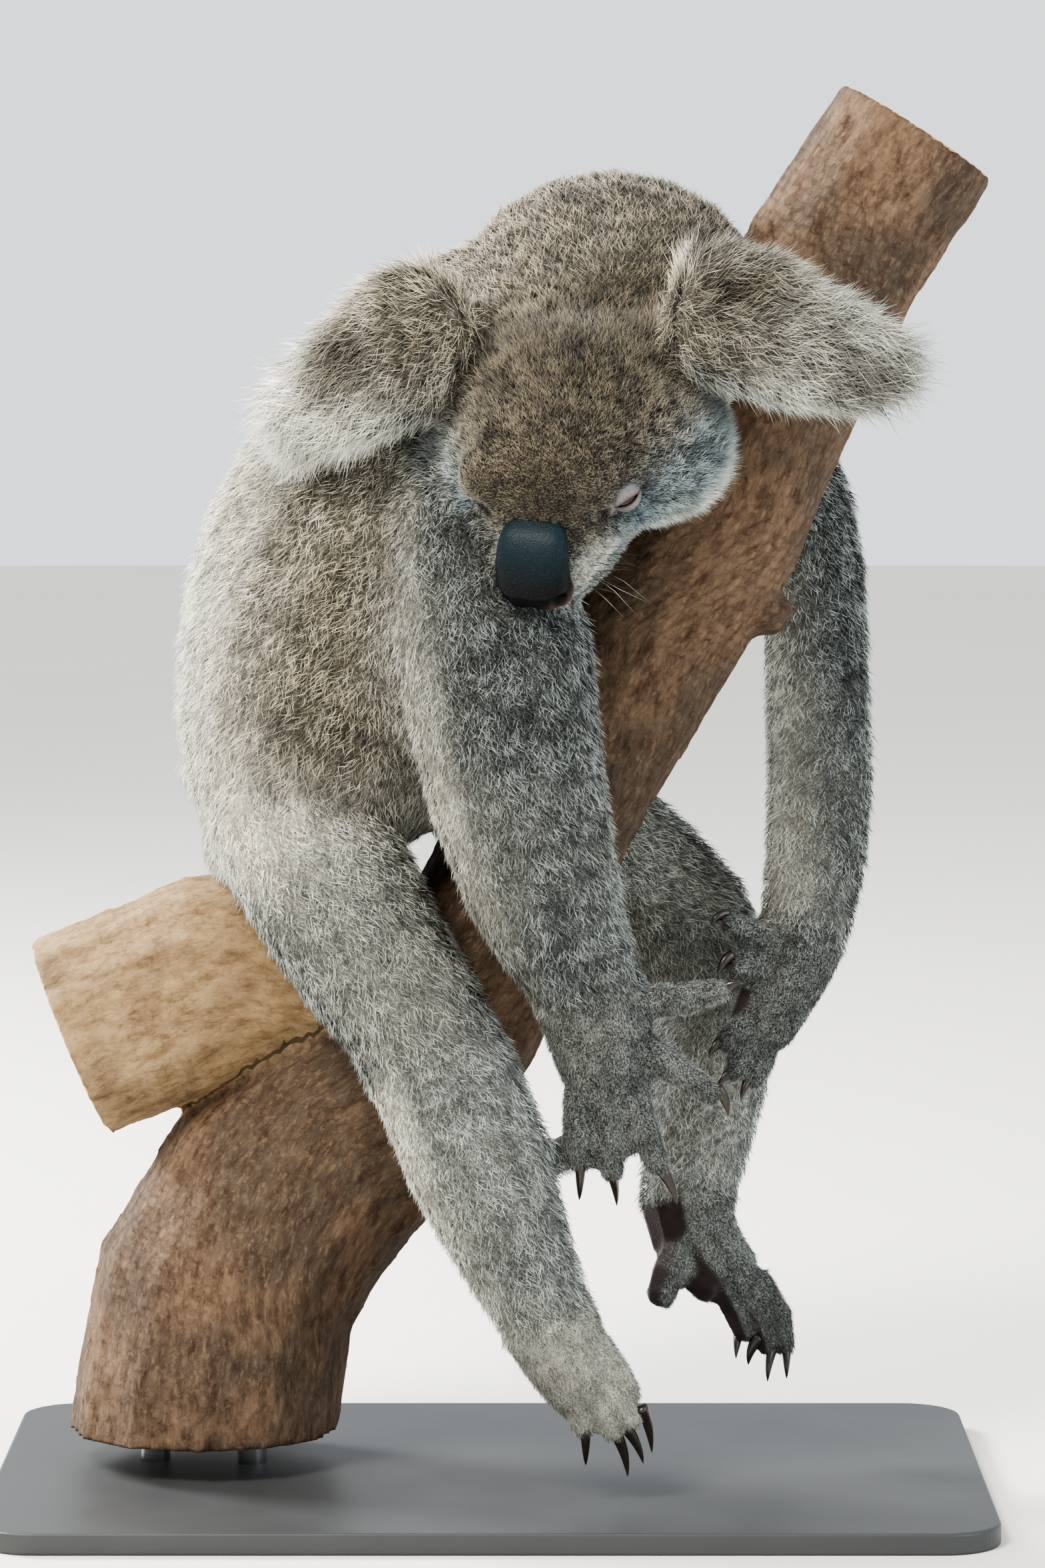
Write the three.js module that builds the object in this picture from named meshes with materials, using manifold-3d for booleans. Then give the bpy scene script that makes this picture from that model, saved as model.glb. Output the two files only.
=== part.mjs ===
// A sleeping koala, life size, draped in the fork of a cut gum limb on a plain display stand.
// Millimetres. +X is to the viewer's right, +Y away from the viewer, +Z up.
// The origin is the centre of the stand's underside. Radii of flesh reach out to the tips of the coat.

import * as THREE from 'three';
import { mergeVertices } from 'three/addons/utils/BufferGeometryUtils.js';
import Module from 'manifold-3d';

// ---------------------------------------------------------------- driving dimensions

const GAP = 0.3;                       // air left between touching pieces
const TAU = 2 * Math.PI;
const FAR = 200;                       // further out than any round solid reaches
const HALVINGS = 24;                   // steps to find a surface along a ray

const BASE = { length: 460, width: 296, thick: 10, corner: 28, bevel: 1.5 };
const ROD = { radius: 7, reach: 22, foot: 6, places: [[-158, 12], [-112, 6]] };
const PERCH_FOOT = 26;                 // height of the perch's sawn lower end

// Stations of a tube are [x, y, z, wide radius, deep radius].
const PERCH = {
  stem: [                              // from the sawn foot, through the fork, up the leaning limb
    [-137, 10, 0, 64, 60], [-131, 10, 55, 63, 60], [-120, 10, 103, 62, 58], [-88, 10, 148, 60, 54],
    [-42, 8, 192, 52, 48], [-5, 6, 248, 43, 42], [24, 4, 310, 41, 41], [57, 0, 370, 40, 40],
    [93, 0, 429, 42, 40], [122, 0, 497, 43, 40], [153, 0, 564, 42, 40], [197, 0, 632, 41, 40],
  ],
  branch: [[-46, 10, 236, 38, 38], [-88, 10, 246, 46, 43], [-128, 9, 239, 50, 45], [-196, 6, 211, 49, 45]],
  knot: { at: [127, -4, 412], radii: [14, 16, 12] },
};

const TRUNK = [                        // along the spine, from the rump to the withers
  [-95, 2, 302, 44, 52], [-88, 2, 326, 64, 74], [-74, 3, 360, 80, 86], [-58, 6, 398, 92, 89],
  [-35, 12, 447, 93, 86], [-3, 22, 493, 88, 84], [30, 32, 524, 76, 80], [52, 40, 540, 60, 72],
];
const NECK = {                         // two ovals that melt into each other, about the first one's middle
  at: [56, 12, 546],
  lobes: {
    nape: { at: [0, 0, 0], radii: [78, 77, 72] },
    scruff: { at: [-8, -42, -18], radii: [72, 61, 61] },
  },
};

// The head has its own frame: [towards its left, forwards, upwards] from the middle of the skull.
const HEAD = { at: [40, -72, 494], pitch: 50, turn: -18, roll: 6 };
const HEAD_LOBES = {
  skull: { at: [0, -14, 6], radii: [58, 56, 46] },
  brow: { at: [0, 26, 8], radii: [45, 35, 35] },
  cheekLeft: { at: [42, -3, -6], radii: [30, 35, 28] },
  cheekRight: { at: [-44, 2, -9], radii: [31, 37, 31] },
  muzzle: { at: [0, 52, -14], radii: [24, 24, 22] },
  jaw: { at: [0, 34, -34], radii: [26, 32, 16] },
};
const HEAD_BLEND = 5;                  // softness of the joins between the head's lobes
const NOSE = [                         // from the brow down to the lip, in the head's frame
  [0, 71, 8, 15.5, 9], [0, 76, 2, 17, 10], [0, 79, -7, 17.5, 11], [0, 76, -17, 16, 10],
];
const EYE = { at: [34, 38, 11], radius: 8, slit: [8.5, 1.6, 12], gaze: [0.55, 0.72, 0.42] };

const EARS = {                         // from the root to the fringe, wide across the flap
  left: [
    [84, -88, 551, 28, 18], [108, -94, 548, 36, 19], [138, -95, 535, 32, 16], [166, -92, 528, 24, 12],
    [184, -88, 529, 11, 7],
  ],
  right: [
    [-12, -66, 547, 32, 18], [-40, -76, 534, 38, 19], [-69, -70, 516, 32, 15], [-92, -61, 501, 20, 10],
  ],
};

const ARMS = {
  right: {
    tube: [
      [-14, -44, 466, 40, 40], [-8, -60, 430, 47, 42], [3, -74, 392, 48, 42], [10, -82, 346, 44, 40],
      [24, -84, 292, 38, 34], [37, -82, 262, 31, 27], [46, -80, 240, 27, 21], [52, -80, 216, 25, 16],
      [55, -80, 198, 20, 12],
    ],
    elbow: { at: [10, -82, 346], along: [0.1, -0.1, -1] },
    wrist: { at: [46, -80, 243], along: [0.3, 0, -1] },
    digits: {
      thumb_1: [[58, -80, 238, 10], [88, -83, 241, 9], [105, -84, 245, 7]],
      thumb_2: [[58, -80, 224, 11], [86, -82, 208, 9], [101, -83, 197, 7]],
      finger_3: [[64, -80, 202, 10], [70, -82, 180, 9], [77, -82, 164, 7]],
      finger_4: [[54, -80, 198, 10], [54, -83, 176, 9], [56, -83, 161, 7]],
      finger_5: [[42, -80, 200, 10], [40, -82, 180, 9], [41, -83, 165, 7]],
    },
    claws: {
      thumb_1: [113, -85, 248], thumb_2: [108, -83, 188],
      finger_3: [85, -81, 147], finger_4: [58, -78, 146], finger_5: [41, -80, 149],
    },
  },
  left: {
    tube: [
      [104, 68, 512, 36, 32], [128, 78, 486, 35, 31], [147, 76, 450, 31, 30], [154, 66, 410, 28, 28],
      [155, 54, 368, 27, 27], [155, 32, 312, 27, 25], [148, 12, 266, 24, 20], [137, 3, 238, 20, 15],
      [126, 0, 216, 17, 11],
    ],
    elbow: { at: [155, 54, 370], along: [0, -0.35, -1] },
    wrist: { at: [147, 9, 260], along: [-0.4, -0.2, -1] },
    digits: {
      thumb_1: [[140, 4, 252, 9], [122, -4, 261, 9], [111, -7, 266, 7.5]],
      thumb_2: [[134, 2, 240, 9], [122, -5, 244, 8.5], [114, -8, 246, 7]],
      finger_3: [[126, 0, 224, 9], [116, -6, 216, 8.5], [109, -9, 211, 7]],
      finger_4: [[124, 0, 214, 9], [118, -5, 203, 8.5], [113, -8, 197, 7]],
      finger_5: [[130, 2, 214, 9], [126, -1, 200, 8.5], [122, -5, 193, 7]],
    },
    claws: {
      thumb_1: [103, -10, 267], thumb_2: [106, -12, 243],
      finger_3: [102, -13, 205], finger_4: [106, -12, 190], finger_5: [117, -10, 184],
    },
  },
};

const LEGS = {
  right: {
    inner: 1,                          // which way along X the foot's inner edge lies
    tube: [
      [-92, -30, 322, 44, 44], [-76, -52, 296, 44, 40], [-56, -68, 262, 40, 38], [-26, -80, 218, 36, 36],
      [-6, -84, 170, 36, 33], [10, -85, 130, 30, 27], [27, -85, 94, 24, 20], [38, -84, 72, 21, 14],
      [46, -83, 58, 17, 10],
    ],
    knee: { at: [-24, -80, 214], along: [0.4, -0.1, -1] },
    ankle: { at: [27, -85, 94], along: [0.45, 0, -1] },
    digits: {
      hallux: [[48, -84, 84, 9], [58, -84, 69, 9], [64, -83, 59, 7.5]],
      toes_2_3: [[50, -83, 72, 10], [59, -84, 57, 9.5], [64, -84, 48, 8]],
      toe_4: [[46, -83, 66, 10], [53, -84, 51, 9], [57, -84, 42, 7]],
      toe_5: [[38, -83, 67, 10], [41, -84, 53, 8.5], [43, -84, 44, 7]],
    },
    claws: {
      toe_2: [74, -81, 33], toe_3: [70, -81, 28], toe_4: [63, -81, 22], toe_5: [44, -80, 27],
    },
  },
  left: {
    inner: -1,
    tube: [
      [-2, 74, 330, 44, 42], [36, 80, 306, 42, 38], [70, 80, 278, 40, 36], [104, 70, 244, 36, 34],
      [106, 58, 206, 33, 32], [100, 46, 166, 29, 28], [93, 34, 130, 25, 21], [99, 30, 110, 22, 14],
      [112, 25, 94, 19, 11],
    ],
    knee: { at: [108, 70, 238], along: [-0.05, -0.25, -1] },
    ankle: { at: [93, 34, 130], along: [0.1, -0.25, -1] },
    digits: {
      hallux: [[92, 26, 116, 10], [84, 19, 98, 10], [80, 15, 87, 9]],
      toes_2_3: [[110, 25, 94, 10], [118, 21, 78, 9.5], [121, 19, 69, 8]],
      toe_4: [[118, 25, 92, 10], [128, 21, 74, 9], [131, 19, 62, 7]],
      toe_5: [[124, 27, 94, 10], [136, 23, 76, 9], [139, 21, 62, 7]],
    },
    claws: {
      toe_2: [116, 15, 58], toe_3: [122, 15, 55], toe_4: [131, 15, 47], toe_5: [140, 17, 48],
    },
  },
};
const FUSED = { toe_2: 'toes_2_3', toe_3: 'toes_2_3' };   // the two toes that share one skin
const CLAW = { root: 3.2, sink: 5, spread: 3.6, waist: 0.8, point: 0.2, bend: 0.55, settle: 0.15 };
const EAR_CUP = 5;                     // how far the middle of an ear is bowed
const END_BULGE = 0.7;                 // length of a round end over the tube's radius
const FLAT_END = 0.05;                 // the same, where an end is sawn

// Rings along each shape, sides round it, and rings in its two round ends.
const DETAIL = {
  stem: { rings: 12, sides: 12, caps: [0, 0] },
  branch: { rings: 3, sides: 12, caps: [0, 0] },
  knot: { rings: 4, sides: 6 },
  skull: { rings: 14, sides: 20 },
  nape: { rings: 8, sides: 16 },
  barrel: { rings: 10, sides: 16 },
  nose: { rings: 4, sides: 10 },
  ear: { rings: 6, sides: 12, caps: [0, 2] },
  limb: { rings: 12, sides: 11 },
  digit: { rings: 2, sides: 6, caps: [0, 1] },
  claw: { rings: 3, sides: 5, caps: [0, 0] },
  eye: [8, 6],
  slit: [6, 4],
  rod: 12,
  corner: 2,
};

const COLOURS = {
  coat: '#8f877e', ear: '#b9b3aa', nose: '#2b2a2c', eye: '#1a1310', claw: '#16130f',
  bark: '#a5734f', board: '#3b3d3e', steel: '#b9bcbe',
};

// ---------------------------------------------------------------- solids

const wasm = await Module();
wasm.setup();
const { Manifold } = wasm;

/** A closed geometry with shared vertices, as a solid for cutting and joining. */
function toSolid(geometry) {
  const bare = geometry.clone();
  bare.deleteAttribute('normal');
  bare.deleteAttribute('uv');
  const merged = mergeVertices(bare, 1e-4);
  return new Manifold(new wasm.Mesh({
    numProp: 3,
    vertProperties: new Float32Array(merged.attributes.position.array),
    triVerts: new Uint32Array(merged.index.array),
  }));
}

/** The largest body of a solid, with no slivers, as a geometry. */
function toGeometry(solid) {
  const bodies = solid.decompose();
  const largest = bodies.reduce((best, body) => (body.volume() > best.volume() ? body : best));
  const mesh = largest.getMesh();
  const geometry = new THREE.BufferGeometry();
  geometry.setAttribute('position', new THREE.BufferAttribute(mesh.vertProperties, 3));
  geometry.setIndex(new THREE.BufferAttribute(mesh.triVerts, 1));
  geometry.computeVertexNormals();
  return geometry;
}

/** Rings of equal length, closed by a pole at each end, joined into one closed solid. */
function skinRings(first, rings, last) {
  const sides = rings[0].length;
  const points = [first, ...rings.flat(), last];
  const at = (ring, side) => 1 + ring * sides + (side % sides);
  const end = points.length - 1;
  const index = [];
  for (let side = 0; side < sides; side++) {
    index.push(0, at(0, side + 1), at(0, side));
    index.push(end, at(rings.length - 1, side), at(rings.length - 1, side + 1));
    for (let ring = 0; ring < rings.length - 1; ring++) {
      index.push(at(ring, side), at(ring, side + 1), at(ring + 1, side));
      index.push(at(ring, side + 1), at(ring + 1, side + 1), at(ring + 1, side));
    }
  }
  const geometry = new THREE.BufferGeometry().setFromPoints(points);
  geometry.setIndex(index);
  return toSolid(geometry);
}

/** A tube of oval rings through stations, with round ends; `side` is the way its wide radius lies. */
function tube(stations, options = {}) {
  const { side = [1, 0, 0], rings, sides, grow = 0, round = END_BULGE, cup = 0, caps = [2, 2] } = options;
  const centre = new THREE.CatmullRomCurve3(stations.map(s => new THREE.Vector3(s[0], s[1], s[2])));
  const radii = new THREE.CatmullRomCurve3(stations.map(s => new THREE.Vector3(s[3], s[4] ?? s[3], 0)));
  centre.curveType = radii.curveType = 'catmullrom';
  const across = new THREE.Vector3(...side);
  const ring = (t, slide, shrink) => {
    const tangent = centre.getTangent(t);
    const wide = across.clone().addScaledVector(tangent, -across.dot(tangent)).normalize();
    const deep = tangent.clone().cross(wide);
    const size = radii.getPoint(t).addScalar(grow);
    const bulge = slide * (round * Math.min(size.x, size.y) + grow);
    const middle = centre.getPoint(t).addScaledVector(tangent, bulge);
    return Array.from({ length: sides }, (_, i) => {
      const angle = (TAU * i) / sides;
      const bend = cup * Math.cos(angle) ** 2 * shrink;
      return middle.clone()
        .addScaledVector(wide, size.x * shrink * Math.cos(angle))
        .addScaledVector(deep, size.y * shrink * Math.sin(angle) + bend);
    });
  };
  const cap = (t, way, i) => {
    const angle = (TAU / 4) * (i / (caps[t] + 1));
    return ring(t, way * Math.sin(angle), Math.cos(angle));
  };
  const all = [];
  for (let i = caps[0]; i > 0; i--) all.push(cap(0, -1, i));
  for (let i = 0; i <= rings; i++) all.push(ring(i / rings, 0, 1));
  for (let i = 1; i <= caps[1]; i++) all.push(cap(1, 1, i));
  return skinRings(ring(0, -1, 0)[0], all, ring(1, 1, 0)[0]);
}

/** How far a point lies outside a group of ovals that melt into each other. */
function outside(point, lobes, blend) {
  const near = lobes.map(({ at, radii }) => {
    const scaled = at.map((c, i) => (point.getComponent(i) - c) / radii[i]);
    const length = Math.hypot(...scaled);
    return length * (length - 1) / Math.hypot(...scaled.map((s, i) => s / radii[i]));
  });
  return -blend * Math.log(near.reduce((sum, d) => sum + Math.exp(-d / blend), 0));
}

/** A closed round solid about the origin: each ray runs out to the surface of the melted ovals. */
function blob(lobes, { blend = HEAD_BLEND, rings, sides, grow = 0 }) {
  const reach = ray => {
    let inner = 0;
    let outer = FAR;
    for (let step = 0; step < HALVINGS; step++) {
      const middle = (inner + outer) / 2;
      if (outside(ray.clone().multiplyScalar(middle), lobes, blend) < 0) inner = middle;
      else outer = middle;
    }
    return ray.clone().multiplyScalar(inner + grow);
  };
  const pole = way => reach(new THREE.Vector3(0, way, 0));
  const bands = Array.from({ length: rings }, (_, i) => {
    const tilt = (Math.PI * (i + 1)) / (rings + 1);
    return Array.from({ length: sides }, (__, j) => {
      const angle = (TAU * j) / sides;
      return reach(new THREE.Vector3(
        Math.sin(tilt) * Math.cos(angle), -Math.cos(tilt), -Math.sin(tilt) * Math.sin(angle)));
    });
  });
  return skinRings(pole(-1), bands, pole(1));
}

const oval = (radii, detail, grow) => blob([{ at: [0, 0, 0], radii }], { ...detail, grow });
const place = (solid, matrix) => solid.transform(matrix.elements);
const moved = (x, y, z) => new THREE.Matrix4().makeTranslation(x, y, z);
const unite = solids => solids.reduce((sum, solid) => sum.add(solid));

/** A solid parted by a thin cut square to `along`: what lies before the cut, and what lies after it. */
function part(solid, { at, along }) {
  const normal = new THREE.Vector3(...along).normalize();
  const offset = normal.dot(new THREE.Vector3(...at));
  const before = solid.trimByPlane(normal.clone().negate().toArray(), GAP / 2 - offset);
  const after = solid.trimByPlane(normal.toArray(), offset + GAP / 2);
  return [before, after];
}

// ---------------------------------------------------------------- perch and stand

/** A round bar standing on the plane z = low. */
function bar([x, y], radius, low, high) {
  const geometry = new THREE.CylinderGeometry(radius, radius, high - low, DETAIL.rod);
  geometry.rotateX(Math.PI / 2);
  geometry.translate(x, y, (low + high) / 2);
  return toSolid(geometry);
}

function perch(grow = 0) {
  const stem = tube(PERCH.stem, { ...DETAIL.stem, grow, round: FLAT_END });
  const branch = tube(PERCH.branch, { ...DETAIL.branch, side: [0, 0, 1], grow, round: FLAT_END });
  const knot = place(oval(PERCH.knot.radii, DETAIL.knot, grow), moved(...PERCH.knot.at));
  const sawn = unite([stem, branch, knot]).trimByPlane([0, 0, 1], PERCH_FOOT - grow);
  const sockets = ROD.places.map(
    ([x, y]) => bar([x, y], ROD.radius + GAP, 0, PERCH_FOOT + ROD.reach + GAP));
  return grow ? sawn : sawn.subtract(unite(sockets));
}

const rod = at => bar(at, ROD.radius, ROD.foot - GAP, PERCH_FOOT + ROD.reach);

function board() {
  const [x, y, r] = [BASE.length / 2 - BASE.bevel, BASE.width / 2 - BASE.bevel, BASE.corner];
  const outline = new THREE.Shape();
  outline.absarc(x - r, y - r, r, 0, TAU / 4);
  outline.absarc(r - x, y - r, r, TAU / 4, TAU / 2);
  outline.absarc(r - x, r - y, r, TAU / 2, 3 * TAU / 4);
  outline.absarc(x - r, r - y, r, 3 * TAU / 4, TAU);
  const geometry = new THREE.ExtrudeGeometry(outline, {
    depth: BASE.thick - 2 * BASE.bevel, curveSegments: DETAIL.corner,
    bevelSize: BASE.bevel, bevelThickness: BASE.bevel, bevelSegments: 1,
  });
  geometry.translate(0, 0, BASE.bevel);
  const holes = ROD.places.map(
    at => bar(at, ROD.radius + GAP, ROD.foot - 2 * GAP, BASE.thick + GAP));
  return toSolid(geometry).subtract(unite(holes));
}

// ---------------------------------------------------------------- head, neck and trunk

/** The head's own frame, whose forward way is its -Y. */
const headFrame = new THREE.Matrix4()
  .makeRotationFromEuler(new THREE.Euler(
    THREE.MathUtils.degToRad(HEAD.pitch),
    THREE.MathUtils.degToRad(HEAD.roll),
    THREE.MathUtils.degToRad(HEAD.turn), 'YZX'))
  .setPosition(...HEAD.at);
const inHead = ([left, forward, up, ...rest]) => [left, -forward, up, ...rest];

function skull(grow = 0) {
  const lobes = Object.values(HEAD_LOBES).map(({ at, radii }) => ({ at: inHead(at), radii }));
  return place(blob(lobes, { ...DETAIL.skull, grow }), headFrame);
}

const nose = (grow = 0) => place(tube(NOSE.map(inHead), { ...DETAIL.nose, grow }), headFrame);

function eyeball(way, grow = 0) {
  const [left, forward, up] = EYE.at;
  const ball = new THREE.SphereGeometry(EYE.radius + grow, ...DETAIL.eye);
  ball.translate(...inHead([way * left, forward, up]));
  return place(toSolid(ball), headFrame);
}

/** The slit between nearly closed lids, from the eyeball out through the face. */
function lidSlit(way) {
  const [left, forward, up] = EYE.at;
  const gaze = new THREE.Vector3(...inHead([way * EYE.gaze[0], EYE.gaze[1], EYE.gaze[2]]));
  const turn = new THREE.Quaternion().setFromUnitVectors(new THREE.Vector3(0, 0, 1), gaze.normalize());
  const slit = new THREE.SphereGeometry(1, ...DETAIL.slit);
  slit.scale(...EYE.slit);
  slit.applyQuaternion(turn);
  slit.translate(...inHead([way * left, forward, up]));
  slit.translate(...gaze.multiplyScalar(EYE.radius).toArray());
  return place(toSolid(slit), headFrame);
}

const ear = (stations, grow = 0) =>
  tube(stations, { ...DETAIL.ear, side: [0.15, 0.2, 1], grow, cup: EAR_CUP });

const nape = (grow = 0) =>
  place(blob(Object.values(NECK.lobes), { ...DETAIL.nape, grow }), moved(...NECK.at));
const barrel = (grow = 0) => tube(TRUNK, { ...DETAIL.barrel, side: [1, 0, -0.5], grow });

// ---------------------------------------------------------------- limbs

/** A claw: a bent cone that starts inside the tip of its digit. */
function claw(digit, point) {
  const [tip, before] = [digit.at(-1), digit.at(-2)].map(s => new THREE.Vector3(s[0], s[1], s[2]));
  const end = new THREE.Vector3(...point);
  const way = tip.clone().sub(before).normalize();
  const bend = tip.clone().addScaledVector(way, tip.distanceTo(end) * CLAW.bend);
  const root = tip.clone().addScaledVector(way, -CLAW.sink / 2);
  const stations = [[root, 1], [bend.lerp(end, CLAW.settle), CLAW.waist], [end, CLAW.point]]
    .map(([at, size]) => [...at.toArray(), CLAW.root * size]);
  return tube(stations, { ...DETAIL.claw, side: [0.3, 1, 0.2] });
}

/** A limb from shoulder or hip to the tips of its digits. */
function limb({ tube: stations, digits }, grow = 0) {
  const shaft = tube(stations, { ...DETAIL.limb, grow });
  const fingers = Object.values(digits).map(
    digit => tube(digit, { ...DETAIL.digit, side: [0.1, 1, 0.1], grow }));
  return unite([shaft, ...fingers]);
}

// ---------------------------------------------------------------- the model

const model = new THREE.Group();

function show(name, solid, colour, { roughness = 0.9, metalness = 0 } = {}) {
  const material = new THREE.MeshStandardMaterial({ color: colour, roughness, metalness });
  const mesh = new THREE.Mesh(toGeometry(solid), material);
  mesh.name = name;
  model.add(mesh);
}

show('stand_base', board(), COLOURS.board, { roughness: 0.6 });
ROD.places.forEach((at, i) => {
  show(`stand_rod_${i + 1}`, rod(at), COLOURS.steel, { roughness: 0.3, metalness: 1 });
});
show('perch', perch(), COLOURS.bark);

/** Each claw grows from its own digit; two that share a digit stand a little apart. */
function showClaws(paw, side) {
  const flesh = limb(paw, GAP);
  for (const [name, point] of Object.entries(paw.claws)) {
    const shift = FUSED[name] ? CLAW.spread * paw.inner * (name === 'toe_2' ? 1 : -1) : 0;
    const digit = paw.digits[FUSED[name] ?? name].map(([x, y, z]) => [x + shift, y, z + shift / 2]);
    show(`claw_${name}_${side}`, claw(digit, point).subtract(flesh), COLOURS.claw, { roughness: 0.25 });
  }
}

const bark = perch(GAP);
const core = unite([skull(GAP), nape(GAP), barrel(GAP)]);
const hollows = unite([1, -1].flatMap(way => [eyeball(way, GAP), lidSlit(way)]));

show('head', skull().subtract(bark).subtract(hollows), COLOURS.coat);
show('neck', nape().subtract(bark).subtract(skull(GAP)), COLOURS.coat);
show('trunk', barrel().subtract(unite([bark, skull(GAP), nape(GAP)])), COLOURS.coat);
show('nose', nose().subtract(core), COLOURS.nose, { roughness: 0.5 });
show('eye_left', eyeball(1), COLOURS.eye, { roughness: 0.1 });
show('eye_right', eyeball(-1), COLOURS.eye, { roughness: 0.1 });
for (const [side, stations] of Object.entries(EARS)) {
  show(`ear_${side}`, ear(stations).subtract(core).subtract(bark), COLOURS.ear);
}

const grownEars = Object.values(EARS).map(stations => ear(stations, GAP));
const around = unite([core, nose(GAP), bark, ...grownEars]);
for (const [side, arm] of Object.entries(ARMS)) {
  const whole = limb(arm).subtract(around);
  const [upper, lower] = part(whole, arm.elbow);
  const [fore, hand] = part(lower, arm.wrist);
  show(`upper_arm_${side}`, upper, COLOURS.coat);
  show(`forearm_${side}`, fore, COLOURS.coat);
  show(`hand_${side}`, hand, COLOURS.coat);
  showClaws(arm, side);
}

const grownArms = unite([limb(ARMS.left, GAP), limb(ARMS.right, GAP)]);
for (const [side, leg] of Object.entries(LEGS)) {
  const whole = limb(leg).subtract(around).subtract(grownArms);
  const [thigh, lower] = part(whole, leg.knee);
  const [shank, foot] = part(lower, leg.ankle);
  show(`thigh_${side}`, thigh, COLOURS.coat);
  show(`shank_${side}`, shank, COLOURS.coat);
  show(`foot_${side}`, foot, COLOURS.coat);
  showClaws(leg, side);
}

export default model;
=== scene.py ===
"""Looks for a sleeping koala on a cut gum limb: skin, coat, face, claws, bark and stand.

Metres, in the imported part's own frame: +X to the viewer's right, +Y away from the viewer, +Z up.
"""

import math
from collections import namedtuple

import bmesh
import bpy
import numpy as np
from mathutils import Matrix, Vector, noise
from mathutils.bvhtree import BVHTree
from mathutils.kdtree import KDTree


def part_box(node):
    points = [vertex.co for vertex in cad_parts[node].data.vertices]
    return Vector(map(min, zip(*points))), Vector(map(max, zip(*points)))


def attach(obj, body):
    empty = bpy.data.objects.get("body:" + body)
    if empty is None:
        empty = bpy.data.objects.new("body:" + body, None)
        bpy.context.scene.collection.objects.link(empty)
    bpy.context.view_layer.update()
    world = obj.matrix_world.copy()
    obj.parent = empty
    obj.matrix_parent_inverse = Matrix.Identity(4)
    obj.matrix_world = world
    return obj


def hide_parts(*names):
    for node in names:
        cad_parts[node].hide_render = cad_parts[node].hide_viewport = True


bl_info = {
    "name": "Koala display model",
    "version": (1, 0, 0),
    "blender": (4, 5, 0),
    "location": "3D View > Sidebar > Koala",
    "description": "Builds the skin, coat, face, claws, bark, stand and studio around the packed koala",
    "category": "Object",
}

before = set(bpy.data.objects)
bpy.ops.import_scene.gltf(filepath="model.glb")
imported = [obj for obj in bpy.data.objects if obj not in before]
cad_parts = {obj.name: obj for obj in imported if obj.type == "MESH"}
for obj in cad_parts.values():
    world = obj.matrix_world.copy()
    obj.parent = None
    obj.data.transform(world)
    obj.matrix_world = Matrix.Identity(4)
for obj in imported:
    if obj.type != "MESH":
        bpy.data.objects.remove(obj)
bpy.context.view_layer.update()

MM = 0.001
SEED = 20
UP = Vector((0, 0, 1))


# ------------------------------------------------------------------ the animal's own measures

# The head's frame: [towards its left, forwards, upwards] in mm from the middle of the skull.
HEAD_FRAME = (
    Matrix.Translation((0.040, -0.072, 0.494))
    @ Matrix.Rotation(math.radians(6), 4, "Y")
    @ Matrix.Rotation(math.radians(-18), 4, "Z")
    @ Matrix.Rotation(math.radians(50), 4, "X")
)
EYE = {"at": (34, 38, 11), "radius": 8.0, "gaze": (0.55, 0.72, 0.42), "slit": (0.72, -0.67, 0.20)}
EYE_REACH = 0.022                      # metres from an eye's centre that its lids can reach over
EYE_ROUND = 2.6                        # and how far round it, against the lids' outline
LID_REACH = 0.012                      # metres from an eye's centre to its lids, and a little more
NOSE_TIP = (0, 84, -4)

Zone = namedtuple("Zone", "depth length lift half_width stray spacing calm")
# Depth of the coat and length of a tuft in mm, lift off the skin in degrees, half the width of a
# tuft in mm, how far tufts stray in radians, the gap between roots in mm, and how far the joints and
# facets of the solids are smoothed.
ZONES = {
    "head": Zone(1.5, 2.9, 60, 0.19, 0.9, 0.585, 0.28),
    "neck": Zone(6.0, 9.0, 46, 0.21, 0.80, 1.42, 1.0),
    "trunk": Zone(6.5, 10.5, 36, 0.24, 0.70, 1.49, 1.0),
    "ear": Zone(4.0, 12.5, 36, 0.19, 0.75, 0.97, 0.15),
    "upper_arm": Zone(5.5, 8.8, 38, 0.22, 0.68, 1.37, 0.6),
    "forearm": Zone(4.5, 7.8, 38, 0.20, 0.65, 1.29, 0.45),
    "hand": Zone(1.5, 3.4, 32, 0.17, 0.45, 0.93, 0.04),
    "thigh": Zone(6.0, 9.2, 38, 0.23, 0.68, 1.47, 0.7),
    "shank": Zone(4.5, 7.8, 38, 0.20, 0.65, 1.35, 0.45),
    "foot": Zone(1.5, 3.6, 32, 0.17, 0.45, 0.93, 0.04),
}
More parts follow.
